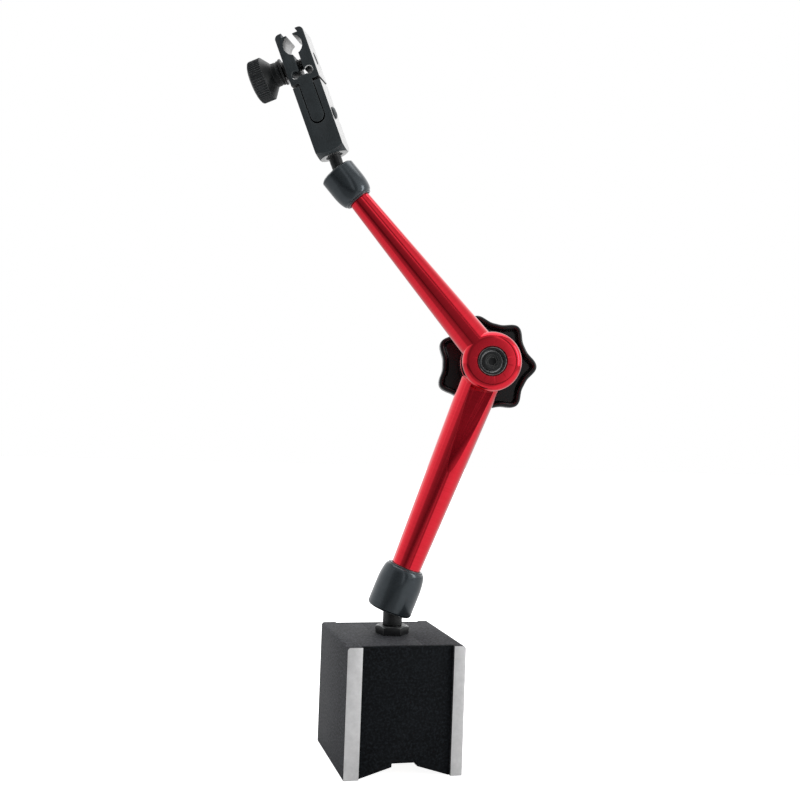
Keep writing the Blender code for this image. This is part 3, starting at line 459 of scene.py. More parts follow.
def rounded(points, radius=0, steps=4, closed=False):
    """Rounds a polyline's corners; a point's third value is its own corner radius."""
    out = []
    count = len(points)
    for i, point in enumerate(points):
        corner = point[2] if len(point) > 2 else radius
        if (not closed and i in (0, count - 1)) or corner <= 0:
            out.append(tuple(point[:2]))
            continue
        before, here, after = (Vector(p[:2]) for p in (points[i - 1], point,
                                                       points[(i + 1) % count]))
        back, on = before - here, after - here
        back_length, on_length = back.length, on.length
        if back_length < 1e-6 or on_length < 1e-6:
            out.append(tuple(point[:2]))
            continue
        back, on = back / back_length, on / on_length
        angle = math.acos(max(-1, min(1, back.dot(on))))
        if angle > rad(176) or angle < rad(4):
            out.append(tuple(point[:2]))
            continue
        setback = min(corner / math.tan(angle / 2), back_length * 0.48, on_length * 0.48)
        fitted = setback * math.tan(angle / 2)
        centre = here + (back + on).normalized() * (fitted / math.sin(angle / 2))
        start, end = here + back * setback, here + on * setback
        start_angle = math.atan2(start.y - centre.y, start.x - centre.x)
        end_angle = math.atan2(end.y - centre.y, end.x - centre.x)
        sweep = (end_angle - start_angle + math.pi) % math.tau - math.pi
        for k in range(steps + 1):
            t = start_angle + sweep * k / steps
            out.append((centre.x + fitted * math.cos(t), centre.y + fitted * math.sin(t)))
    return out


def arc(x, y, radius, start, end, steps):
    """Points on an arc, with its angles in degrees."""
    angles = [rad(start + (end - start) * i / steps) for i in range(steps + 1)]
    return [(x + radius * math.cos(a), y + radius * math.sin(a)) for a in angles]


def hexagon(radius, turn):
    angles = [rad(turn + 60 * i) for i in range(6)]
    return [(radius * math.cos(a), radius * math.sin(a)) for a in angles]


def lathe(name, profile, frame, mats=(), segments=96, radius_at=None, smooth=35, slot_at=None):
    """A turned piece from (radius, z). radius_at(radius, z, angle) shapes the surface;
    slot_at(radius, z) picks a material from the middle of each profile run."""
    bm = bmesh.new()
    rings = []
    for radius, z in profile:
        if radius < 1e-6:
            rings.append([bm.verts.new((0, 0, z * MM))])
            continue
        ring = []
        for k in range(segments):
            a = math.tau * k / segments
            r = radius_at(radius, z, a) if radius_at else radius
            ring.append(bm.verts.new((r * math.cos(a) * MM, r * math.sin(a) * MM, z * MM)))
        rings.append(ring)
    pairs = list(zip(rings[:-1], rings[1:]))
    if len(rings[0]) > 1 and len(rings[-1]) > 1:
        pairs.append((rings[-1], rings[0]))
    for i, (a, b) in enumerate(pairs):
        (r0, z0), (r1, z1) = profile[i], profile[(i + 1) % len(profile)]
        slot = int(slot_at((r0 + r1) / 2, (z0 + z1) / 2)) if slot_at else 0
        for k in range(segments):
            j = (k + 1) % segments
            corners = [a[k % len(a)], b[k % len(b)], b[j % len(b)], a[j % len(a)]]
            corners = [v for n, v in enumerate(corners) if v not in corners[:n]]
            if len(corners) > 2:
                bm.faces.new(corners).material_index = slot
    bmesh.ops.recalc_face_normals(bm, faces=bm.faces)
    ob = new_object(name, bm, mats, smooth)
    ob.matrix_world = frame
    return ob


def prism(name, outline, z0, z1, frame, mats=()):
    """A filled outline run from z0 to z1."""
    bm = bmesh.new()
    low = [bm.verts.new((x * MM, y * MM, z0 * MM)) for x, y in outline]
    high = [bm.verts.new((x * MM, y * MM, z1 * MM)) for x, y in outline]
    bm.faces.new(low[::-1])
    bm.faces.new(high)
    count = len(outline)
    for i in range(count):
        j = (i + 1) % count
        bm.faces.new([low[i], low[j], high[j], high[i]])
    bmesh.ops.recalc_face_normals(bm, faces=bm.faces)
    ob = new_object(name, bm, mats, 30)
    ob.matrix_world = frame
    return ob


def box(name, low, high, frame, mats=()):
    outline = [(low[0], low[1]), (high[0], low[1]), (high[0], high[1]), (low[0], high[1])]
    return prism(name, outline, low[2], high[2], frame, mats)


def loft(name, rings, frame, mats):
    """Skins a list of (outline, z) rings; the ends are closed with a fan of faces."""
    bm = bmesh.new()
    skins = [[bm.verts.new((x * MM, y * MM, z * MM)) for x, y in outline]
             for outline, z in rings]
    count = len(skins[0])
    for a, b in zip(skins[:-1], skins[1:]):
        for i in range(count):
            j = (i + 1) % count
            bm.faces.new([a[i], a[j], b[j], b[i]])
    for ring, z in ((skins[0], rings[0][1]), (skins[-1], rings[-1][1])):
        centre = bm.verts.new((0, 0, z * MM))
        for i in range(count):
            bm.faces.new([ring[i], ring[(i + 1) % count], centre])
    bmesh.ops.recalc_face_normals(bm, faces=bm.faces)
    ob = new_object(name, bm, mats, 40)
    ob.matrix_world = frame
    return ob


def cut(ob, tool, operation="DIFFERENCE"):
    boolean = ob.modifiers.new("boolean", "BOOLEAN")
    boolean.operation = operation
    boolean.solver = "EXACT"
    boolean.object = tool
    scrap.append(tool)


def bore(ob, radius, z0, z1, frame, segments=48):
    """Cuts a plain round hole from z0 down to z1."""
    profile = [(0, z0), (radius, z0), (radius, z1), (0, z1)]
    cut(ob, lathe("tool", profile, frame, segments=segments))


def bevel(ob, width, segments, angle):
    modifier = ob.modifiers.new("bevel", "BEVEL")
    modifier.width = width * MM
    modifier.segments = segments
    modifier.limit_method = "ANGLE"
    modifier.angle_limit = rad(angle)


def bake(ob, smooth=35):
    """Applies the modifiers and keeps the result as a plain mesh."""
    bpy.context.view_layer.update()
    depsgraph = bpy.context.evaluated_depsgraph_get()
    mesh = bpy.data.meshes.new_from_object(
        ob.evaluated_get(depsgraph), preserve_all_data_layers=True, depsgraph=depsgraph)
    ob.modifiers.clear()
    old = ob.data
    ob.data = mesh
    mesh.name = old.name
    mesh.shade_smooth()
    mesh.set_sharp_from_angle(angle=rad(smooth))


def finish(ob, body, node):
    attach(ob, body)
    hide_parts(node)


def knurl(teeth, depth, z0, z1, from_radius):
    """Straight knurl: a toothed radius between two heights, fading at the ends."""
    def radius_at(radius, z, angle):
        if radius < from_radius or z < z0 or z > z1:
            return radius
        fade = min(1.0, min(z - z0, z1 - z) / 0.5)
        t = abs(((angle / math.tau * teeth) % 1.0) - 0.5) * 2
        return radius - depth * fade * (0.15 + 0.85 * t ** 1.2)
    return radius_at


def subdivided(profile, parts):
    """Splits each run longer than 1.2, so that a knurl can shape it."""
    out = [profile[0]]
    for a, b in zip(profile[:-1], profile[1:]):
        m = parts if math.hypot(b[0] - a[0], b[1] - a[1]) > 1.2 else 1
        out += [(a[0] + (b[0] - a[0]) * i / m, a[1] + (b[1] - a[1]) * i / m)
                for i in range(1, m + 1)]
    return out


def thread(top, bottom, radius, pitch=1.25, depth=0.5):
    """Turned grooves that read as a thread along a stud."""
    out, z = [], top
    while z - pitch > bottom:
        out += [(radius, z), (radius, z - pitch * 0.2),
                (radius - depth, z - pitch * 0.55), (radius - depth, z - pitch * 0.65)]
        z -= pitch
    return out + [(radius, bottom)]


# ---------------------------------------------------------------------------
# Magnetic base: two iron poles with brass between, cover plates front and rear
# ---------------------------------------------------------------------------
HALF_WIDTH, HALF_DEPTH, BASE_TOP = 25.8, 29.2, 55
GROOVE_X = 0.7                     # middle of the foot groove and the covers
GROOVE_HALF, GROOVE_RISE = 5.5, 4.3      # the groove's narrow part, and where it starts
FOOT_INNER = 19.5                  # inner edge of each flat foot
POCKET_HALF = 20.0                 # half width of the pockets for the covers
POCKET_FRONT, POCKET_REAR = 25.4, -25.3
STUD_HOLE = 4.25
PANEL_SCREW_X, PANEL_SCREW_HEIGHTS = 16.4, (11.0, 46.0)


def panel_screw_frame(side, height):
    offset = Vector((GROOVE_X + side * PANEL_SCREW_X, 0, height)) * MM
    return frame_at(BASE + offset, REARWARD, RIGHTWARD)


PANEL_SCREW_FRAMES = [panel_screw_frame(side, height)
                      for side in (-1, 1) for height in PANEL_SCREW_HEIGHTS]


def bare_ground_faces(ob):
    """Ground metal on the strips beside the covers and on the feet, paint elsewhere."""
    for face in ob.data.polygons:
        centre, normal = face.center / MM, face.normal
        strip = abs(centre.z) > HALF_DEPTH - 0.1 and abs(normal.z) > 0.8
        foot = centre.y < 0.05 and normal.y < -0.8
        face.material_index = 1 if (strip or foot) else 0


def pole(side):
    word = "left" if side < 0 else "right"
    groove = GROOVE_HALF + side * GROOVE_X
    outline = rounded([               # x outwards, height, corner radius
        (8.02, BASE_TOP), (8.02, 40.55), (groove, 36), (groove, GROOVE_RISE),
        (FOOT_INNER + side * GROOVE_X, 0, 0.15),
        (HALF_WIDTH, 0, 0.2), (HALF_WIDTH, BASE_TOP, 1.3),
    ], steps=6, closed=True)
    outline = [(side * x, y) for x, y in outline]
    if side < 0:
        outline = outline[::-1]
    ob = prism("base_pole_%s_body" % word, outline, -HALF_DEPTH, HALF_DEPTH,
               AT_SECTION, [PAINT, IRON])
    left, right = GROOVE_X - POCKET_HALF, GROOVE_X + POCKET_HALF
    for z0, z1 in ((POCKET_FRONT, 31), (-31, POCKET_REAR)):
        cut(ob, box("tool", (left, -1, z0), (right, 56, z1), AT_SECTION))
    bore(ob, 15.3, 40, -24, AT_REAR, 96)           # the magnet rotor's chamber
    for height in PANEL_SCREW_HEIGHTS:
        bore(ob, 1.8, 40, 19.5, panel_screw_frame(side, height), 32)
    bevel(ob, 0.22, 2, 50)
    bake(ob, 30)
    bare_ground_faces(ob)
    finish(ob, "base", "base_pole_" + word)


def top_spacer():
    ob = box("base_spacer_top_block", (-8.0, 40.7, -25.28), (8.0, 55.0, 25.38),
             AT_SECTION, [PAINT])
    bore(ob, STUD_HOLE, 60, 30, AT_STUD)
    bake(ob, 30)
    finish(ob, "base", "base_spacer_top")


def cover(name, z0, z1, rear):
    half, top, arch = 19.97, 54.97, 5.8
    outline = rounded([               # x from the groove's middle, height, corner radius
        (half, 0.0), (half, top, 0.15), (-half, top, 0.15), (-half, 0.0),
        (-FOOT_INNER, 0.0), (-GROOVE_HALF, GROOVE_RISE, 0.5), (-GROOVE_HALF, arch, 0.3),
        (GROOVE_HALF, arch, 0.3), (GROOVE_HALF, GROOVE_RISE, 0.5), (FOOT_INNER, 0.0),
    ], closed=True)
    outline = [(x + GROOVE_X, y) for x, y in outline]
    # the plate takes the darker paint copy, which paints the shade on its face
    ob = prism(name + "_plate", outline, z0, z1, AT_SECTION, [PANEL_SHADE])
    if rear:
        bore(ob, 8.3, 40, 20, AT_REAR, 64)
        sink = [(0, 31), (3.0, 31), (3.0, 27.4), (1.8, 26.2), (1.8, 23), (0, 23)]
        for frame in PANEL_SCREW_FRAMES:
            cut(ob, lathe("tool", sink, frame, segments=40))
    bevel(ob, 0.12, 2, 50)
    bake(ob, 30)
    finish(ob, "base", name)


def panel_screw(index, frame):
    """A countersunk cross-slot screw, each turned a little further than the last."""
    profile = rounded([(0, 27.3), (2.55, 27.3), (1.5, 26.15), (1.5, 19.9), (0, 19.9)],
                      radius=0.12, steps=3)
    ob = lathe("rear_panel_screw_%d_body" % (index + 1), profile, frame, [STEEL], 48)
    for angle in (20 + 31 * index, 110 + 31 * index):
        cut(ob, box("tool", (-1.5, -0.21, 26.3), (1.5, 0.21, 28.2),
                    frame @ Matrix.Rotation(rad(angle), 4, "Z")))
    bevel(ob, 0.05, 2, 40)
    bake(ob)
    finish(ob, "base", "rear_panel_screw_%d" % (index + 1))


def lock_nut():
    half_flats = 6.5
    ob = prism("lock_nut_hex", hexagon(half_flats / math.cos(rad(30)), -14.8),
               55.04, 59.0, AT_STUD, [BLACK])
    chamfered = [(0, 59.01), (6.2, 59.01), (7.7, 58.14), (7.7, 55.9), (6.9, 55.0), (0, 55.0)]
    cut(ob, lathe("tool", chamfered, AT_STUD), "INTERSECT")
    hole = [(0, 60), (4.9, 60), (STUD_HOLE, 58.6), (STUD_HOLE, 50), (0, 50)]
    cut(ob, lathe("tool", hole, AT_STUD, segments=64))
    bevel(ob, 0.12, 2, 30)
    bake(ob, 28)
    ob.data.materials.append(LIP_HIGHLIGHT)
    for face in ob.data.polygons:                  # painted highlight on the upper chamfers
        if 0.3 < face.normal.z < 0.96 and face.center.z > 0.0575:
            face.material_index = 1
    finish(ob, "base", "lock_nut")


pole(-1)
pole(1)
top_spacer()
cover("front_cover_panel", 25.45, 27.4, rear=False)
cover("rear_cover_panel", -27.4, -25.35, rear=True)
for index, frame in enumerate(PANEL_SCREW_FRAMES):
    panel_screw(index, frame)
lock_nut()

# ---------------------------------------------------------------------------
# Magnet switch on the rear face: a knurled disc with a raised bar grip
# ---------------------------------------------------------------------------
SWITCH = 29.6                      # the disc's inner face; the disc is 5 thick


def switch_knob():
    profile = rounded([(0, SWITCH + 5), (15.0, SWITCH + 5, 0.9), (15.0, SWITCH, 0.5),
                       (0, SWITCH)], steps=5)
    ob = lathe("switch_knob_body", subdivided(profile, 6), AT_REAR, [PLASTIC], 288,
               knurl(48, 0.35, SWITCH + 0.5, SWITCH + 4.4, from_radius=14.9), 50)
    bake(ob, 50)
    grip = prism("tool", arc(10.6, 0, 3.5, -90, 90, 16) + arc(-10.6, 0, 3.5, 90, 270, 16),
                 SWITCH + 4.0, SWITCH + 13.0, AT_REAR, [PLASTIC])
    bevel(grip, 0.8, 4, 50)
    bake(grip)
    cut(ob, grip, "UNION")
    hole = [(0, 60), (4.0, 60), (4.0, SWITCH + 9.5), (2.3, SWITCH + 9.5), (2.3, 10), (0, 10)]
    cut(ob, lathe("tool", hole, AT_REAR, segments=64))
    cut(ob, box("tool", (-13.2, -0.45, SWITCH + 12.6), (-6.0, 0.45, SWITCH + 14), AT_REAR))
    bake(ob, 40)
    finish(ob, "magnet_switch", "switch_knob")


def switch_screw():
    head_top, head_bottom, end = SWITCH + 12.4, SWITCH + 9.8, 20.6
    profile = rounded([(0, head_top), (3.6, head_top, 0.5), (3.6, head_bottom, 0.1),
                       (2.0, head_bottom, 0.1), (2.0, end, 0.2), (0, end)], steps=3)
    ob = lathe("switch_knob_screw_body", profile, AT_REAR, [STEEL], 64)
    cut(ob, box("tool", (-5, -0.5, SWITCH + 11.5), (5, 0.5, SWITCH + 14), AT_REAR))
    bevel(ob, 0.08, 2, 45)
    bake(ob)
    finish(ob, "magnet_switch", "switch_knob_screw")


switch_knob()
switch_screw()

# ---------------------------------------------------------------------------
# Ball joints: the lower stud, brass seats and socket caps
# ---------------------------------------------------------------------------
LOWER_BALL_R, UPPER_BALL_R = 6.5, 4.9
STUD_R = 4.0


def ball(radius, neck, steps=28):
    """A ball's profile from its top down to the neck radius."""
    end = -90 + math.degrees(math.asin(neck / radius))
    return [(0, radius)] + arc(0, 0, radius, 90, end, steps)[1:]


profile = ball(LOWER_BALL_R, 3.5)
profile += rounded([(3.5, -5.5), (3.5, -5.75), (4.3, -5.9), (4.3, -11.15), (STUD_R, -11.45),
                    (STUD_R, -12.5)], radius=0.15, steps=3)
profile += thread(-12.5, -27.9, STUD_R) + [(3.5, -28.4), (0, -28.4)]
finish(lathe("lower_ball_stud_body", profile, AT_LOWER_BALL, [BLACK], 72),
       "lower_ball_stud", "lower_ball_stud")


def cup_seat(node, ball_radius, mouth, back, outer, frame, sign):
    """A seat hollowed to the ball: mouth is its mouth's radius and height."""
    hollow = ball_radius + 0.35
    mouth_angle = math.degrees(math.asin(mouth / hollow))
    inner = [(max(x, 0.0), y) for x, y in arc(0, 0, hollow, 90, mouth_angle, 14)]
    profile = rounded([(0, back), (outer, back, 0.35), (outer, mouth)]) + inner[::-1]
    ob = lathe(node + "_seat", [(r, z * sign) for r, z in profile], frame, [BRASS], 72)
    finish(ob, node, node)


cup_seat("lower_ball_cup", LOWER_BALL_R, mouth=3.2, back=8.0, outer=6.4,
         frame=AT_LOWER_ARM, sign=1)
cup_seat("upper_ball_cup", UPPER_BALL_R, mouth=2.4, back=6.1, outer=4.8,
         frame=AT_UPPER_ARM, sign=-1)


def socket_cap(node, body, frame, sign, face, end, wide, narrow, ball_radius, lip, flare,
               hole, chamfer, shoulder):
    """A domed cap round a ball. face is the mouth's distance past the ball centre, end the
    arm end's height, shoulder where the dome meets the wide part; the rest are radii,
    apart from chamfer, a height."""
    hollow = ball_radius + 0.3
    profile = rounded([(hole, end), (narrow, end, 0.45), (narrow + 0.25, end - 1.2)])[:-1]
    steps = 22
    for i in range(steps + 1):
        t = math.pi / 2 * i / steps
        profile.append((narrow + (wide - narrow) * math.sin(t) ** 0.94,
                        shoulder + (end - 0.7 - shoulder) * math.cos(t)))
    rim = (wide - 0.35, -face + 0.45)
    profile += rounded([(wide, shoulder - 1), (wide, -face + chamfer * 0.85, 0.5), rim])[1:]
    profile += rounded([rim, (wide - 0.8, -face + 0.05, 0.15), (flare, -face, 0.15),
                        (flare - 0.3, -face + 0.3)], steps=3)[1:-1]
    mouth_angle = math.degrees(math.atan2(-math.sqrt(hollow * hollow - lip * lip), lip))
    inner = arc(0, 0, hollow, mouth_angle, 0, 10)
    inner[-1] = (hole, 0.0)
    profile += inner
    widest = max(r for r, z in profile)
    # slot 1: a painted highlight band round the mouth's rim
    ob = lathe(node + "_body", [(r, sign * z) for r, z in profile], frame, [CAP, LIP_HIGHLIGHT], 128,
               slot_at=lambda r, z: sign * z < -face + 0.46 and r > widest - 0.9)
    finish(ob, body, node)


socket_cap("lower_socket_cap", "lower_arm", AT_LOWER_ARM, 1, face=5.4, end=15.5, wide=10.15,
           narrow=8.1, ball_radius=LOWER_BALL_R, lip=6.3, flare=8.2, hole=6.8,
           chamfer=1.2, shoulder=5.0)
socket_cap("upper_socket_cap", "upper_arm", AT_UPPER_ARM, -1, face=4.0, end=12.0, wide=8.1,
           narrow=6.1, ball_radius=UPPER_BALL_R, lip=4.5, flare=6.4, hole=5.2,
           chamfer=0.9, shoulder=3.6)

# ---------------------------------------------------------------------------
# Arms: tapered bars, each with a hub at the elbow
# ---------------------------------------------------------------------------
HUB_R = 12.8
LOWER_ROD_HOLE, UPPER_ROD_HOLE = 3.3, 2.7


def hub(bolt_face, knob_face, corner_radial, corner_axial):
    """A hub blank with an elliptical corner on the bolt head's side."""
    profile = rounded([(0, knob_face), (HUB_R, knob_face, 0.8),
                       (HUB_R, bolt_face + corner_axial)], steps=5)[:-1]
    profile += [(HUB_R - corner_radial + corner_radial * math.cos(rad(a)),
                 bolt_face + corner_axial - corner_axial * math.sin(rad(a)))
                for a in range(0, 91, 6)]
    profile += [(0, bolt_face)]
    return lathe("tool", profile, AT_ELBOW, [RED], 144)


def lower_arm():
    bar = [(0, 112.0), (9.1, 112.0), (9.1, 105.3), (6.7, 15.8), (6.4, 15.8), (6.4, 8.9),
           (6.0, 8.5), (0, 8.5)]
    ob = lathe("lower_arm_bar", bar, AT_LOWER_ARM, [RED], 128)
    # two tapering flats, turned a little round the arm
    turned = (Matrix.Translation(LOWER_BALL) @ Matrix.Rotation(rad(10), 4, LOWER_AXIS)
              @ Matrix.Translation(-LOWER_BALL))
    flats = [(8.8, 0), (8.7, 15), (7.2, 105), (6.9, 130)]
    outline = flats + [(-x, y) for x, y in flats[::-1]]
    cut(ob, prism("tool", outline, -30, 30, turned @ AT_LOWER_SIDE), "INTERSECT")
    cut(ob, hub(-8.5, 8.5, 1.2, 1.2), "UNION")
    bore(ob, LOWER_ROD_HOLE, LOWER_LENGTH, 0, AT_LOWER_ARM)
    hub_hole = [(0, 20), (6.35, 20), (6.35, -5.5), (3.4, -5.5), (3.4, -15), (0, -15)]
    cut(ob, lathe("tool", hub_hole, AT_ELBOW, segments=72))
    bevel(ob, 0.2, 3, 24)
    bake(ob, 30)
    # the flats take the darker red copy: painted shade
    ob.data.materials.append(FLAT_RED_SHADE)
    across = (AT_LOWER_ARM.inverted().to_3x3() @ turned.to_3x3() @ ELBOW_AXIS).normalized()
    for face in ob.data.polygons:
        if abs(face.normal.dot(across)) > 0.9985 and 0.015 < face.center.z < 0.101:
            face.material_index = 1
    finish(ob, "lower_arm", "lower_arm")


def upper_arm():
    bar = [(0, -6.5), (4.2, -6.5), (4.6, -6.9), (4.6, -11.9), (4.75, -12.0),
           (7.5, -UPPER_LENGTH + 8), (7.5, -UPPER_LENGTH + 1.5), (0, -UPPER_LENGTH + 1.5)]
    ob = lathe("upper_arm_bar", bar, AT_UPPER_ARM, [RED], 128)
    cut(ob, hub(-24.6, -9.6, 3.1, 3.3), "UNION")
    bore(ob, UPPER_ROD_HOLE, 0, -UPPER_LENGTH, AT_UPPER_ARM)
    hub_hole = [(0, -5), (3.4, -5), (3.4, -12), (6.35, -12), (6.35, -24.2), (6.65, -24.7),
                (6.65, -30), (0, -30)]
    cut(ob, lathe("tool", hub_hole, AT_ELBOW))
    bevel(ob, 0.25, 3, 26)
    bake(ob, 30)
    finish(ob, "upper_arm", "upper_arm")


lower_arm()
upper_arm()


# ---------------------------------------------------------------------------
# Elbow: guide ring, bolt, star knob, washers, lock cones and push rods
# ---------------------------------------------------------------------------
def outer_edge(height, radius):
    """Picks the outer edge at the bolt head's end of a turned piece, for a painted highlight."""
    return lambda r, z: z < height and r > radius


profile = rounded([(4.9, -22.2, 0.1), (6.15, -22.2, 0.1), (6.15, -24.3, 0.35),
                   (4.9, -24.3, 0.35)], closed=True)
# the ring's outer edge gets a painted highlight
ring = lathe("hub_guide_ring_body", profile, AT_ELBOW, [BLACK, LIP_HIGHLIGHT],
             slot_at=outer_edge(-23.98, 5.82))
finish(ring, "upper_arm", "hub_guide_ring")


def tie_bolt():
    profile = rounded([(0, 19.0), (3.0, 19.0, 0.4), (3.0, 18.0)], steps=3)
    profile += thread(17.5, 6.0, 3.0, pitch=1.0, depth=0.4)
    profile += rounded([(3.0, 5.5), (3.0, -20.7, 0.1), (4.2, -20.7, 0.1), (4.2, -24.1, 0.4),
                        (2.9, -24.1, 0.15), (2.6, -23.7, 0.1), (0, -23.7)])
    # the head's outer edge gets a painted highlight
    ob = lathe("tie_bolt_body", profile, AT_ELBOW, [BLACK, LIP_HIGHLIGHT],
               slot_at=outer_edge(-23.75, 4.02))
    cut(ob, prism("tool", hexagon(2.1, 12), -26, -21.8, AT_ELBOW))
    bevel(ob, 0.08, 2, 40)
    bake(ob)
    finish(ob, "tie_bolt", "tie_bolt")


tie_bolt()

LOBES = 7
STAR_STEPS = LOBES * 26
TIP_R, VALLEY_R = 23.45, 19.9
STAR_TURN = 103.3                  # degrees, where one lobe points
KNOB_BACK = 10.6

# Star knob rings: inset from the outline, circle blended towards, blend, height
KNOB_UNDERSIDE = [
    (0, 5.6, 1.0, 0.1), (0, 7.4, 1.0, 0.1), (0, 7.7, 1.0, 0.4), (0, 7.9, 1.0, 4.6),
    (0, 8.4, 1.0, 5.1), (3.1, None, 0, 5.1), (2.6, None, 0, 4.6), (2.15, None, 0, 0.9),
]
KNOB_CROWN = [
    (4.5, 14.2, 0.35, 12.0), (4.5, 13.2, 0.8, 12.7), (4.5, 11.0, 1.0, 13.3),
    (4.5, 7.0, 1.0, 13.8), (4.5, 2.5, 1.0, 14.0),
]


def star(inset, circle=None, blend=0.0):
    """The lobed outline moved inwards, or blended towards a circle."""
    points = []
    for i in range(STAR_STEPS):
        a = math.tau * i / STAR_STEPS
        t = abs(math.cos(LOBES / 2 * (a - rad(STAR_TURN)))) ** 3.1
        radius = VALLEY_R + (TIP_R - VALLEY_R) * t
        points.append(Vector((math.cos(a), math.sin(a))) * radius)
    out = []
    for i, point in enumerate(points):
        along = (points[(i + 1) % STAR_STEPS] - points[i - 1]).normalized()
        moved = point + Vector((-along.y, along.x)) * inset
        if circle is not None:
            a = math.atan2(moved.y, moved.x)
            moved = moved.lerp(Vector((math.cos(a), math.sin(a))) * circle, blend)
        out.append((moved.x, -moved.y))            # the elbow's frame has Y down
    return out


def knob_rings(table):
    return [(star(inset, circle, blend), KNOB_BACK + z) for inset, circle, blend, z in table]


def star_knob():
    rings = knob_rings(KNOB_UNDERSIDE)
    for k in range(1, 7):                          # the rim's rounded back edge
        t = math.pi * k / 6
        rings.append((star(1.15 + math.cos(t)), KNOB_BACK + 1.0 - math.sin(t)))
    rings.append((star(0.05), KNOB_BACK + 4.5))
    rings.append((star(0.0), KNOB_BACK + 8.5))
    for k in range(1, 6):                          # the rounded shoulder to the crown
        t = math.pi / 2 * k / 5
        rings.append((star(2.2 * (1 - math.cos(t))), KNOB_BACK + 8.9 + 2.2 * math.sin(t)))
    rings += knob_rings(KNOB_CROWN)
    ob = loft("elbow_star_knob", rings, AT_ELBOW, [PLASTIC])
    cut(ob, prism("tool", hexagon(5.3, 30), KNOB_BACK - 2, 20.6, AT_ELBOW))
    bake(ob, 40)
    finish(ob, "elbow_knob", "elbow_knob")


def knob_insert():
    ob = prism("knob_insert_hex", hexagon(4.95, 30), KNOB_BACK + 0.1, 20.2, AT_ELBOW, [BRASS])
    bore(ob, 3.3, 30, 0, AT_ELBOW)
    bevel(ob, 0.15, 2, 40)
    bake(ob)
    finish(ob, "elbow_knob", "knob_insert")


star_knob()
knob_insert()

# Turned parts on the elbow axis: name ending, (radius, z) outline, body, node,
# material, slot
ELBOW_PARTS = [
    ("_disc", [(3.4, -8.75), (10.5, -8.75), (10.5, -9.35), (3.4, -9.35)],
     "upper_arm", "hub_washer", BRASS, "spacer_brass"),
    ("_disc", [(3.4, 10.3), (9.5, 10.3), (9.5, 9.3), (3.4, 9.3)],
     "knob_washer", "knob_washer", STEEL, "zinc_steel"),
    ("_body", [(3.3, 9.0), (6.0, 9.0), (6.0, 2.5), (4.2, 0.7), (4.2, -5.0), (3.3, -5.0)],
     "lower_lock_cone", "lower_lock_cone", STEEL, "zinc_steel"),
    ("_body", [(3.3, -12.3), (4.2, -12.3), (4.2, -17.8), (6.0, -19.6), (6.0, -20.4),
               (3.3, -20.4)],
     "tie_bolt", "upper_lock_cone", STEEL, "zinc_steel"),
]
for ending, outline, body, node, mat, slot in ELBOW_PARTS:
    profile = rounded(outline, radius=0.12, steps=3, closed=True)
    finish(lathe(node + ending, profile, AT_ELBOW, [mat], 72), body, node)


def push_rod(node, frame, radius, ball_end, arm_length, sign):
    """A rod from the ball seat to the elbow's cone, with a coned tip."""
    tip_r, tip = 1.2, arm_length - 5.05
    profile = rounded([(0, tip), (tip_r, tip, 0.3), (radius, tip - (radius - tip_r), 0.3),
                       (radius, ball_end, 0.4), (0, ball_end)])
    ob = lathe(node + "_body", [(r, z * sign) for r, z in profile], frame, [STEEL], 48)
    finish(ob, node, node)


push_rod("lower_push_rod", AT_LOWER_ARM, 3.0, 8.3, LOWER_LENGTH, 1)
push_rod("upper_push_rod", AT_UPPER_ARM, 2.4, 6.4, UPPER_LENGTH, -1)

# ---------------------------------------------------------------------------
# Clamp head: stud, fork, jaw on its pivot, clamp knob and fine screw
# ---------------------------------------------------------------------------
HEAD_HALF_DEPTH = 7.5
FORK_HALF, FORK_FOOT, FORK_TOP = 6.3, 10.35, 42.1
SLOT_HALF, SLOT_FLOOR = 3.4, HEAD_HALF_DEPTH - 11.2      # the slot down the fork's front
JAW_HALF, JAW_FOOT, JAW_TOP, JAW_CORNER = 6.5, 43.3, 66.3, 2.0
TONGUE_HALF = 2.95
BORE_Y, BORE_R = 59.9, 4.24        # the jaw's stem bore
MOUTH_HALF, MOUTH_Y, SLIT_HALF = 1.435, 64.5, 1.25
RELIEF_X, RELIEF_Y, RELIEF_R = 3.15, 47.3, 1.6           # round holes each side of the slit
PIVOT_HOLE, CLAMP_HOLE = 1.7, 2.8

profile = [(0, 21)] + rounded([(2.6, 21), (3.0, 20.6), (3.0, 10.6), (2.8, 10.3), (2.8, 7.6),
                               (2.75, 6.9), (2.75, 5.0)], radius=0.2, steps=3)[:-1]
profile += [(r, -z) for r, z in reversed(ball(UPPER_BALL_R, 2.75, 22))]
finish(lathe("upper_ball_stud_body", profile, AT_HEAD, [BLACK], 72),
       "upper_ball_stud", "upper_ball_stud")


def head_faces(ob, half):
    """Bare metal on the ground sides and the foot, painted shade inside the recesses and on the
    faces across the gaps.
    """
    for face in ob.data.polygons:
        c, n = face.center / MM, face.normal
        if abs(c.x) > half - 0.02 and abs(n.x) > 0.9:
            face.material_index = 1
        elif abs(c.y - FORK_FOOT) < 0.05 and n.y < -0.9:
            face.material_index = 1
        # slot 2: painted shade in the slot, on the tongue's sides and across the gap
        elif abs(n.z) < 0.3 and abs(c.x) < 3.6 and 24.0 < c.y < 43.2:
            face.material_index = 2
        elif ((abs(c.y - FORK_TOP) < 0.1 and n.y > 0.9)
              or (abs(c.y - JAW_FOOT) < 0.1 and n.y < -0.9)):
            face.material_index = 2
        elif abs(c.z - SLOT_FLOOR) < 0.1 and n.z > 0.9:
            face.material_index = 2


def tongue_outline(half, top, bottom):
    """A straight strip with a round lower end."""
    return [(half, top), (-half, top)] + arc(0, bottom + half, half, 180, 360, 28)


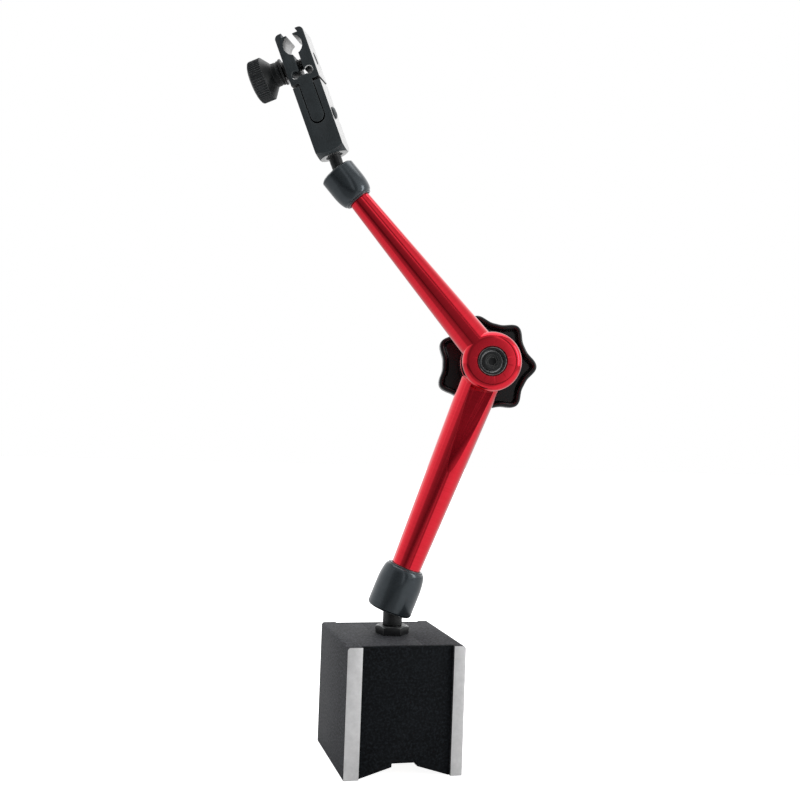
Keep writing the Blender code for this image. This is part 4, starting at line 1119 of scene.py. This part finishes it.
def fork():
    outline = [(-FORK_HALF, FORK_FOOT), (FORK_HALF, FORK_FOOT),
               (FORK_HALF, FORK_TOP), (-FORK_HALF, FORK_TOP)]
    ob = prism("head_fork_body", outline, -HEAD_HALF_DEPTH, HEAD_HALF_DEPTH, AT_FACE,
               [HEAD, BARE, GAP_SHADE])
    cone = [(0, 48), (22, 48), (22, 21.11), (6.2, FORK_FOOT), (0, FORK_FOOT)]
    cut(ob, lathe("tool", cone, AT_HEAD, [HEAD], 128), "INTERSECT")
    cut(ob, prism("tool", tongue_outline(SLOT_HALF, 46, 24.2), SLOT_FLOOR,
                  HEAD_HALF_DEPTH + 3, AT_FACE))
    stud_hole = [(0, 21.4), (3.3, 21.4), (3.3, 11), (4.0, 10.2), (0, 10.2)]
    cut(ob, lathe("tool", stud_hole, AT_HEAD, segments=48))
    bore(ob, PIVOT_HOLE, 20, -5.0, AT_PIVOT)
    bore(ob, 1.8, 20, 0, AT_FINE)
    bevel(ob, 0.16, 2, 40)
    bake(ob, 28)
    head_faces(ob, FORK_HALF)
    finish(ob, "clamp_head", "head_fork")


def pivot_screw():
    profile = rounded([(0, 7.6), (1.6, 7.45, 0.8), (2.65, 6.9, 0.3), (2.75, 6.35, 0.1),
                       (1.4, 6.35, 0.1), (1.4, -4.6, 0.3), (0, -4.6)])
    ob = lathe("jaw_pivot_screw_body", profile, AT_PIVOT, [PIVOT_BLACK], 72)
    cut(ob, box("tool", (-4, -0.35, 7.1), (4, 0.35, 9),
                AT_PIVOT @ Matrix.Rotation(rad(35), 4, "Z")))
    bevel(ob, 0.06, 2, 45)
    bake(ob)
    finish(ob, "clamp_head", "jaw_pivot_screw")


def jaw_outline():
    """The jaw's front view: bore with a mouth above, slit and relief holes below."""
    corner_x, corner_y = JAW_HALF - JAW_CORNER, JAW_TOP - JAW_CORNER
    mouth = math.degrees(math.asin(MOUTH_HALF / BORE_R))
    slit = math.degrees(math.asin(SLIT_HALF / BORE_R))
    neck = 1.15
    relief = math.degrees(math.asin(neck / RELIEF_R))
    outline = [(-JAW_HALF, JAW_FOOT), (JAW_HALF, JAW_FOOT)]
    outline += arc(corner_x, corner_y, JAW_CORNER, 0, 90, 10)
    outline += [(3.2, JAW_TOP), (3.75, MOUTH_Y), (MOUTH_HALF, MOUTH_Y)]
    outline += arc(0, BORE_Y, BORE_R, 90 - mouth, -90 + slit, 36)
    outline += [(SLIT_HALF, RELIEF_Y + neck)]
    outline += arc(RELIEF_X, RELIEF_Y, RELIEF_R, 180 - relief, -180 + relief, 36)
    outline += arc(-RELIEF_X, RELIEF_Y, RELIEF_R, -relief, -360 + relief, 36)
    outline += [(-SLIT_HALF, RELIEF_Y + neck)]
    outline += arc(0, BORE_Y, BORE_R, 270 - slit, 90 + mouth, 36)
    outline += [(-MOUTH_HALF, MOUTH_Y), (-3.75, MOUTH_Y), (-3.2, JAW_TOP)]
    outline += arc(-corner_x, corner_y, JAW_CORNER, 90, 180, 10)
    return outline


def jaw_faces(ob):
    """Machined metal in the bore, and painted highlights: bright arcs on the lit side of the
    relief holes' chamfers.
    """
    for face in ob.data.polygons:
        c, n = face.center / MM, face.normal
        from_bore = Vector((c.x, c.y - BORE_Y)).length
        if 4.0 < from_bore < 4.26 and abs(n.z) < 0.2 and abs(c.z) < HEAD_HALF_DEPTH - 0.15:
            face.material_index = 3
        for x in (-RELIEF_X, RELIEF_X):
            d = Vector((c.x - x, c.y - RELIEF_Y))
            angle = math.degrees(math.atan2(d.y, d.x))
            # the arcs cover only the side where light falls: a painted highlight
            wear_and_glint = -40 < angle < 150 if x > 0 else -150 < angle < -80
            chamfer = 0.3 < n.z < 0.95 and c.z > HEAD_HALF_DEPTH - 0.4
            if 1.6 < d.length < 2.0 and chamfer and wear_and_glint:
                face.material_index = 1


def jaw():
    depth = HEAD_HALF_DEPTH
    ob = prism("stem_clamp_jaw_body", jaw_outline(), -depth, depth, AT_FACE,
               [HEAD, BARE, GAP_SHADE, BORED])
    cut(ob, prism("tool", tongue_outline(TONGUE_HALF, 44.0, 25.0), depth - 10.4, depth,
                  AT_FACE, [HEAD]), "UNION")
    bore(ob, PIVOT_HOLE, 10, -10, AT_PIVOT)
    bore(ob, CLAMP_HOLE, 20, -20, AT_CLAMP)
    chamfer = [(0, depth + 1), (2.9, depth + 1), (1.9, depth), (1.62, depth - 0.28),
               (0, depth - 0.28)]
    for x in (-RELIEF_X, RELIEF_X):
        at_relief = AT_FACE @ Matrix.Translation(Vector((x, RELIEF_Y, 0)) * MM)
        cut(ob, lathe("tool", chamfer, at_relief, segments=64))
    bevel(ob, 0.14, 2, 40)
    bake(ob, 28)
    head_faces(ob, JAW_HALF)
    jaw_faces(ob)
    finish(ob, "stem_clamp", "stem_clamp_jaw")


def clamp_ring(name, node, outer, z0, z1, corner, segments):
    outline = [(CLAMP_HOLE, z1), (outer, z1), (outer, z0), (CLAMP_HOLE, z0)]
    profile = rounded(outline, radius=corner, steps=3, closed=True)
    ob = lathe(name, profile, AT_CLAMP, [BLACK], segments)
    finish(ob, "clamp_washer", node)


def clamp_knob():
    """A knurled rim on a smoother cone and neck; the cone and neck take a darker copy of the
    finish, painted shade.
    """
    start = JAW_HALF + 3.1
    profile = rounded([
        (0, 22.8), (7.6, 22.8, 0.8), (9.5, 21.9, 0.9), (9.5, 16.45, 0.35), (5.2, 13.0, 0.8),
        (5.15, 11.2, 0.05), (5.0, 11.0, 0.05), (5.0, 10.6, 0.05), (5.3, 10.4, 0.05),
        (5.3, start, 0.25), (CLAMP_HOLE, start, 0.2), (CLAMP_HOLE, 19.8, 0.1), (0, 19.8),
    ], steps=5)
    # slot 1, the cone and neck, takes the darker copy: painted shade
    ob = lathe("clamp_knob_body", subdivided(profile, 8), AT_CLAMP, [KNURL, CONE_SHADE], 384,
               knurl(54, 0.55, 16.2, 22.3, from_radius=8.6), 45,
               slot_at=lambda r, z: z < 16.4)
    finish(ob, "clamp_knob", "clamp_knob")


def clamp_screw():
    profile = [(0, 19.4), (2.5, 19.4)] + thread(13.0, -5.8, 2.5, pitch=0.8, depth=0.33)
    profile += [(2.2, -6.3), (0, -6.3)]
    ob = lathe("clamp_screw_body", profile, AT_CLAMP, [BLACK], 48)
    finish(ob, "clamp_knob", "clamp_screw")


def fine_adjust():
    tip = 2.9 + 0.3
    profile = [(0, 12.4), (1.5, 12.4)] + thread(12.0, tip + 0.8, 1.5, pitch=0.5, depth=0.22)
    profile += [(1.0, tip), (0, tip)]
    screw = lathe("fine_adjust_screw_body", profile, AT_FINE, [STEEL], 40)
    finish(screw, "fine_adjust", "fine_adjust_screw")
    profile = rounded([(0, 14.4), (4.4, 14.4, 0.5), (4.4, 8.8, 0.4), (1.8, 8.8, 0.1),
                       (1.8, 12.8), (0, 12.8)])
    knob = lathe("fine_adjust_knob_body", subdivided(profile, 8), AT_FINE, [BLACK], 192,
                 knurl(32, 0.3, 9.2, 14.0, from_radius=4.2), 45)
    finish(knob, "fine_adjust", "fine_adjust_knob")


fork()
pivot_screw()
jaw()
clamp_ring("clamp_collar_ring", "clamp_collar", 4.0, JAW_HALF + 0.35, JAW_HALF + 1.55, 0.15, 72)
clamp_ring("clamp_washer_disc", "clamp_washer", 5.75, JAW_HALF + 1.85, JAW_HALF + 2.8, 0.2, 96)
clamp_knob()
clamp_screw()
fine_adjust()

# Loaded pieces kept as they are get the same finishes.
for node, mat in (("base_spacer_bottom", BRASS), ("magnet_rotor", BARE),
                  ("magnet_block", MAGNET)):
    mesh = model["nodes"][node].data
    mesh.materials.clear()
    mesh.materials.append(mat)

for tool in scrap:
    bpy.data.objects.remove(tool, do_unlink=True)

# ---------------------------------------------------------------------------
# Camera directions, floor, camera, world and lights
# ---------------------------------------------------------------------------
CAMERA_RIGHT = Vector((0.96622935, -0.2551915, 0.03575107))
CAMERA_DOWN = Vector((0.03952116, 0.00965954, -0.99917204))
CAMERA_FORWARD = Vector((0.25463487, 0.96684228, 0.0194188))
TO_CAMERA = -Vector((CAMERA_FORWARD.x, CAMERA_FORWARD.y, 0)).normalized()
FLOOR_SIDE = Vector((CAMERA_FORWARD.y, -CAMERA_FORWARD.x, 0)).normalized()
LEVEL_RIGHT = Vector((CAMERA_RIGHT.x, CAMERA_RIGHT.y, 0)).normalized()


def floor_white():
    """White paper with a dim sector on the camera's side; it glows to the camera only."""
    mat = Material("studio_floor_white")
    camera_ray = mat.node("LightPath").outputs["Is Camera Ray"]
    paper = mat.ramp(mat.noise(scale=3, detail=2), (0.3, 0.76), (0.7, 0.80))
    towards = mat.dot(mat.coords, TO_CAMERA)
    near_side = mat.ramp(towards, (0.10, 0.0), (0.22, 1.0))
    sector = mat.ramp(mat.turn(mat.dot(mat.coords, FLOOR_SIDE), towards),
                      (0.5 - 62 / 360, 0.0), (0.5 - 52 / 360, 1.0),
                      (0.5 + 12 / 360, 1.0), (0.5 + 30 / 360, 0.0))
    dim = mat.ramp(towards, (0.5, 0.40), (0.95, 0.13))
    mat.set(color=mat.mix(mat.math("MULTIPLY", near_side, sector), paper, dim),
            roughness=0.8, specular=0.1)
    glow = mat.node("Emission", {"Color": (1, 1, 1), "Strength": 0.93})
    lit = mat.shader.outputs[0]
    glowing = mat.node("AddShader", {0: lit, 1: glow.outputs[0]})
    seen = mat.node("MixShader", {0: camera_ray, 1: lit, 2: glowing.outputs[0]})
    mat.feed(mat.tree.nodes["Material Output"].inputs["Surface"], seen.outputs[0])
    return mat.data


bm = bmesh.new()
bmesh.ops.create_grid(bm, x_segments=8, y_segments=8, size=3.0)
floor = new_object("studio_floor", bm, [floor_white()], smooth=0)
floor.location = (0, 0, -0.0002)

camera_data = bpy.data.cameras.new("camera")
camera_data.sensor_width = 36.0
camera_data.lens = 49.17
camera_data.clip_start = 0.01
camera = bpy.data.objects.new("camera", camera_data)
bpy.context.scene.collection.objects.link(camera)
pose = Matrix((CAMERA_RIGHT, -CAMERA_DOWN, -CAMERA_FORWARD)).transposed().to_4x4()
pose.translation = BASE + Vector((-124.5, -474.2, 149.9)) * MM
camera.matrix_world = pose
bpy.context.scene.camera = camera

# Light level round the vertical: degrees from the camera's side, + to its right; level
TENT_LEVELS = [
    (-180, 1.25), (-110, 1.15), (-80, 0.85), (-58, 0.74), (-48, 0.36), (-25, 0.22),
    (-8, 0.28), (1, 0.32), (6, 0.44), (9, 1.05), (15, 1.05), (20, 0.26), (31, 0.26),
    (38, 1.0), (80, 1.2), (180, 1.25),
]


def build_world():
    """A bright tent with a dark opening around the camera; plain white to the camera."""
    world = bpy.data.worlds.new("studio")
    bpy.context.scene.world = world
    world.use_nodes = True
    sky = Nodes(world.node_tree)
    for node in list(sky.tree.nodes):
        sky.tree.nodes.remove(node)

    def level_ramp(factor, stops):
        return sky.ramp(factor, *[(at, (v, v, v * 1.01)) for at, v in stops])

    coords = sky.node("TexCoord").outputs["Generated"]
    direction = sky.node("VectorMath", {0: coords}, operation="NORMALIZE").outputs[0]
    forward = sky.dot(direction, TO_CAMERA)
    sideways = sky.dot(direction, LEVEL_RIGHT)
    around = level_ramp(sky.turn(sideways, forward),
                        [(0.5 + angle / 360.0, v) for angle, v in TENT_LEVELS])
    height = sky.node("SeparateXYZ", {0: direction}).outputs["Z"]
    overhead = level_ramp(height, [(0.0, 1.0), (0.62, 0.9), (0.85, 0.55), (1.0, 0.55)])
    roof = level_ramp(height, [(0.55, 0.0), (0.8, 1.0)])
    level = sky.mix(roof, around, overhead)
    tent = sky.node("Background", {"Color": level, "Strength": 0.9})
    white = sky.node("Background", {"Color": (1, 1, 1), "Strength": 1.0})
    camera_ray = sky.node("LightPath").outputs["Is Camera Ray"]
    seen = sky.node("MixShader", {0: camera_ray, 1: tent.outputs[0], 2: white.outputs[0]})
    sky.node("OutputWorld", {"Surface": seen.outputs[0]})


def area_light(name, location, target, size, power):
    light = bpy.data.lights.new(name, "AREA")
    light.shape = "RECTANGLE"
    light.size, light.size_y = size
    light.energy = power
    ob = bpy.data.objects.new(name, light)
    bpy.context.scene.collection.objects.link(ob)
    ob.location = location
    aim = Vector(target) - Vector(location)
    ob.rotation_euler = aim.to_track_quat("-Z", "Y").to_euler()


build_world()
area_light("softbox_top", location=(0.05, 0.05, 0.85), target=(0, 0, 0.15),
           size=(0.7, 0.7), power=2.5)
area_light("softbox_right_front", location=(0.62, -0.42, 0.38), target=(0, 0, 0.14),
           size=(0.20, 0.5), power=1.5)

view = bpy.context.scene.view_settings
view.view_transform = "Standard"
view.look = "None"
view.exposure = 0.0
view.gamma = 1.0
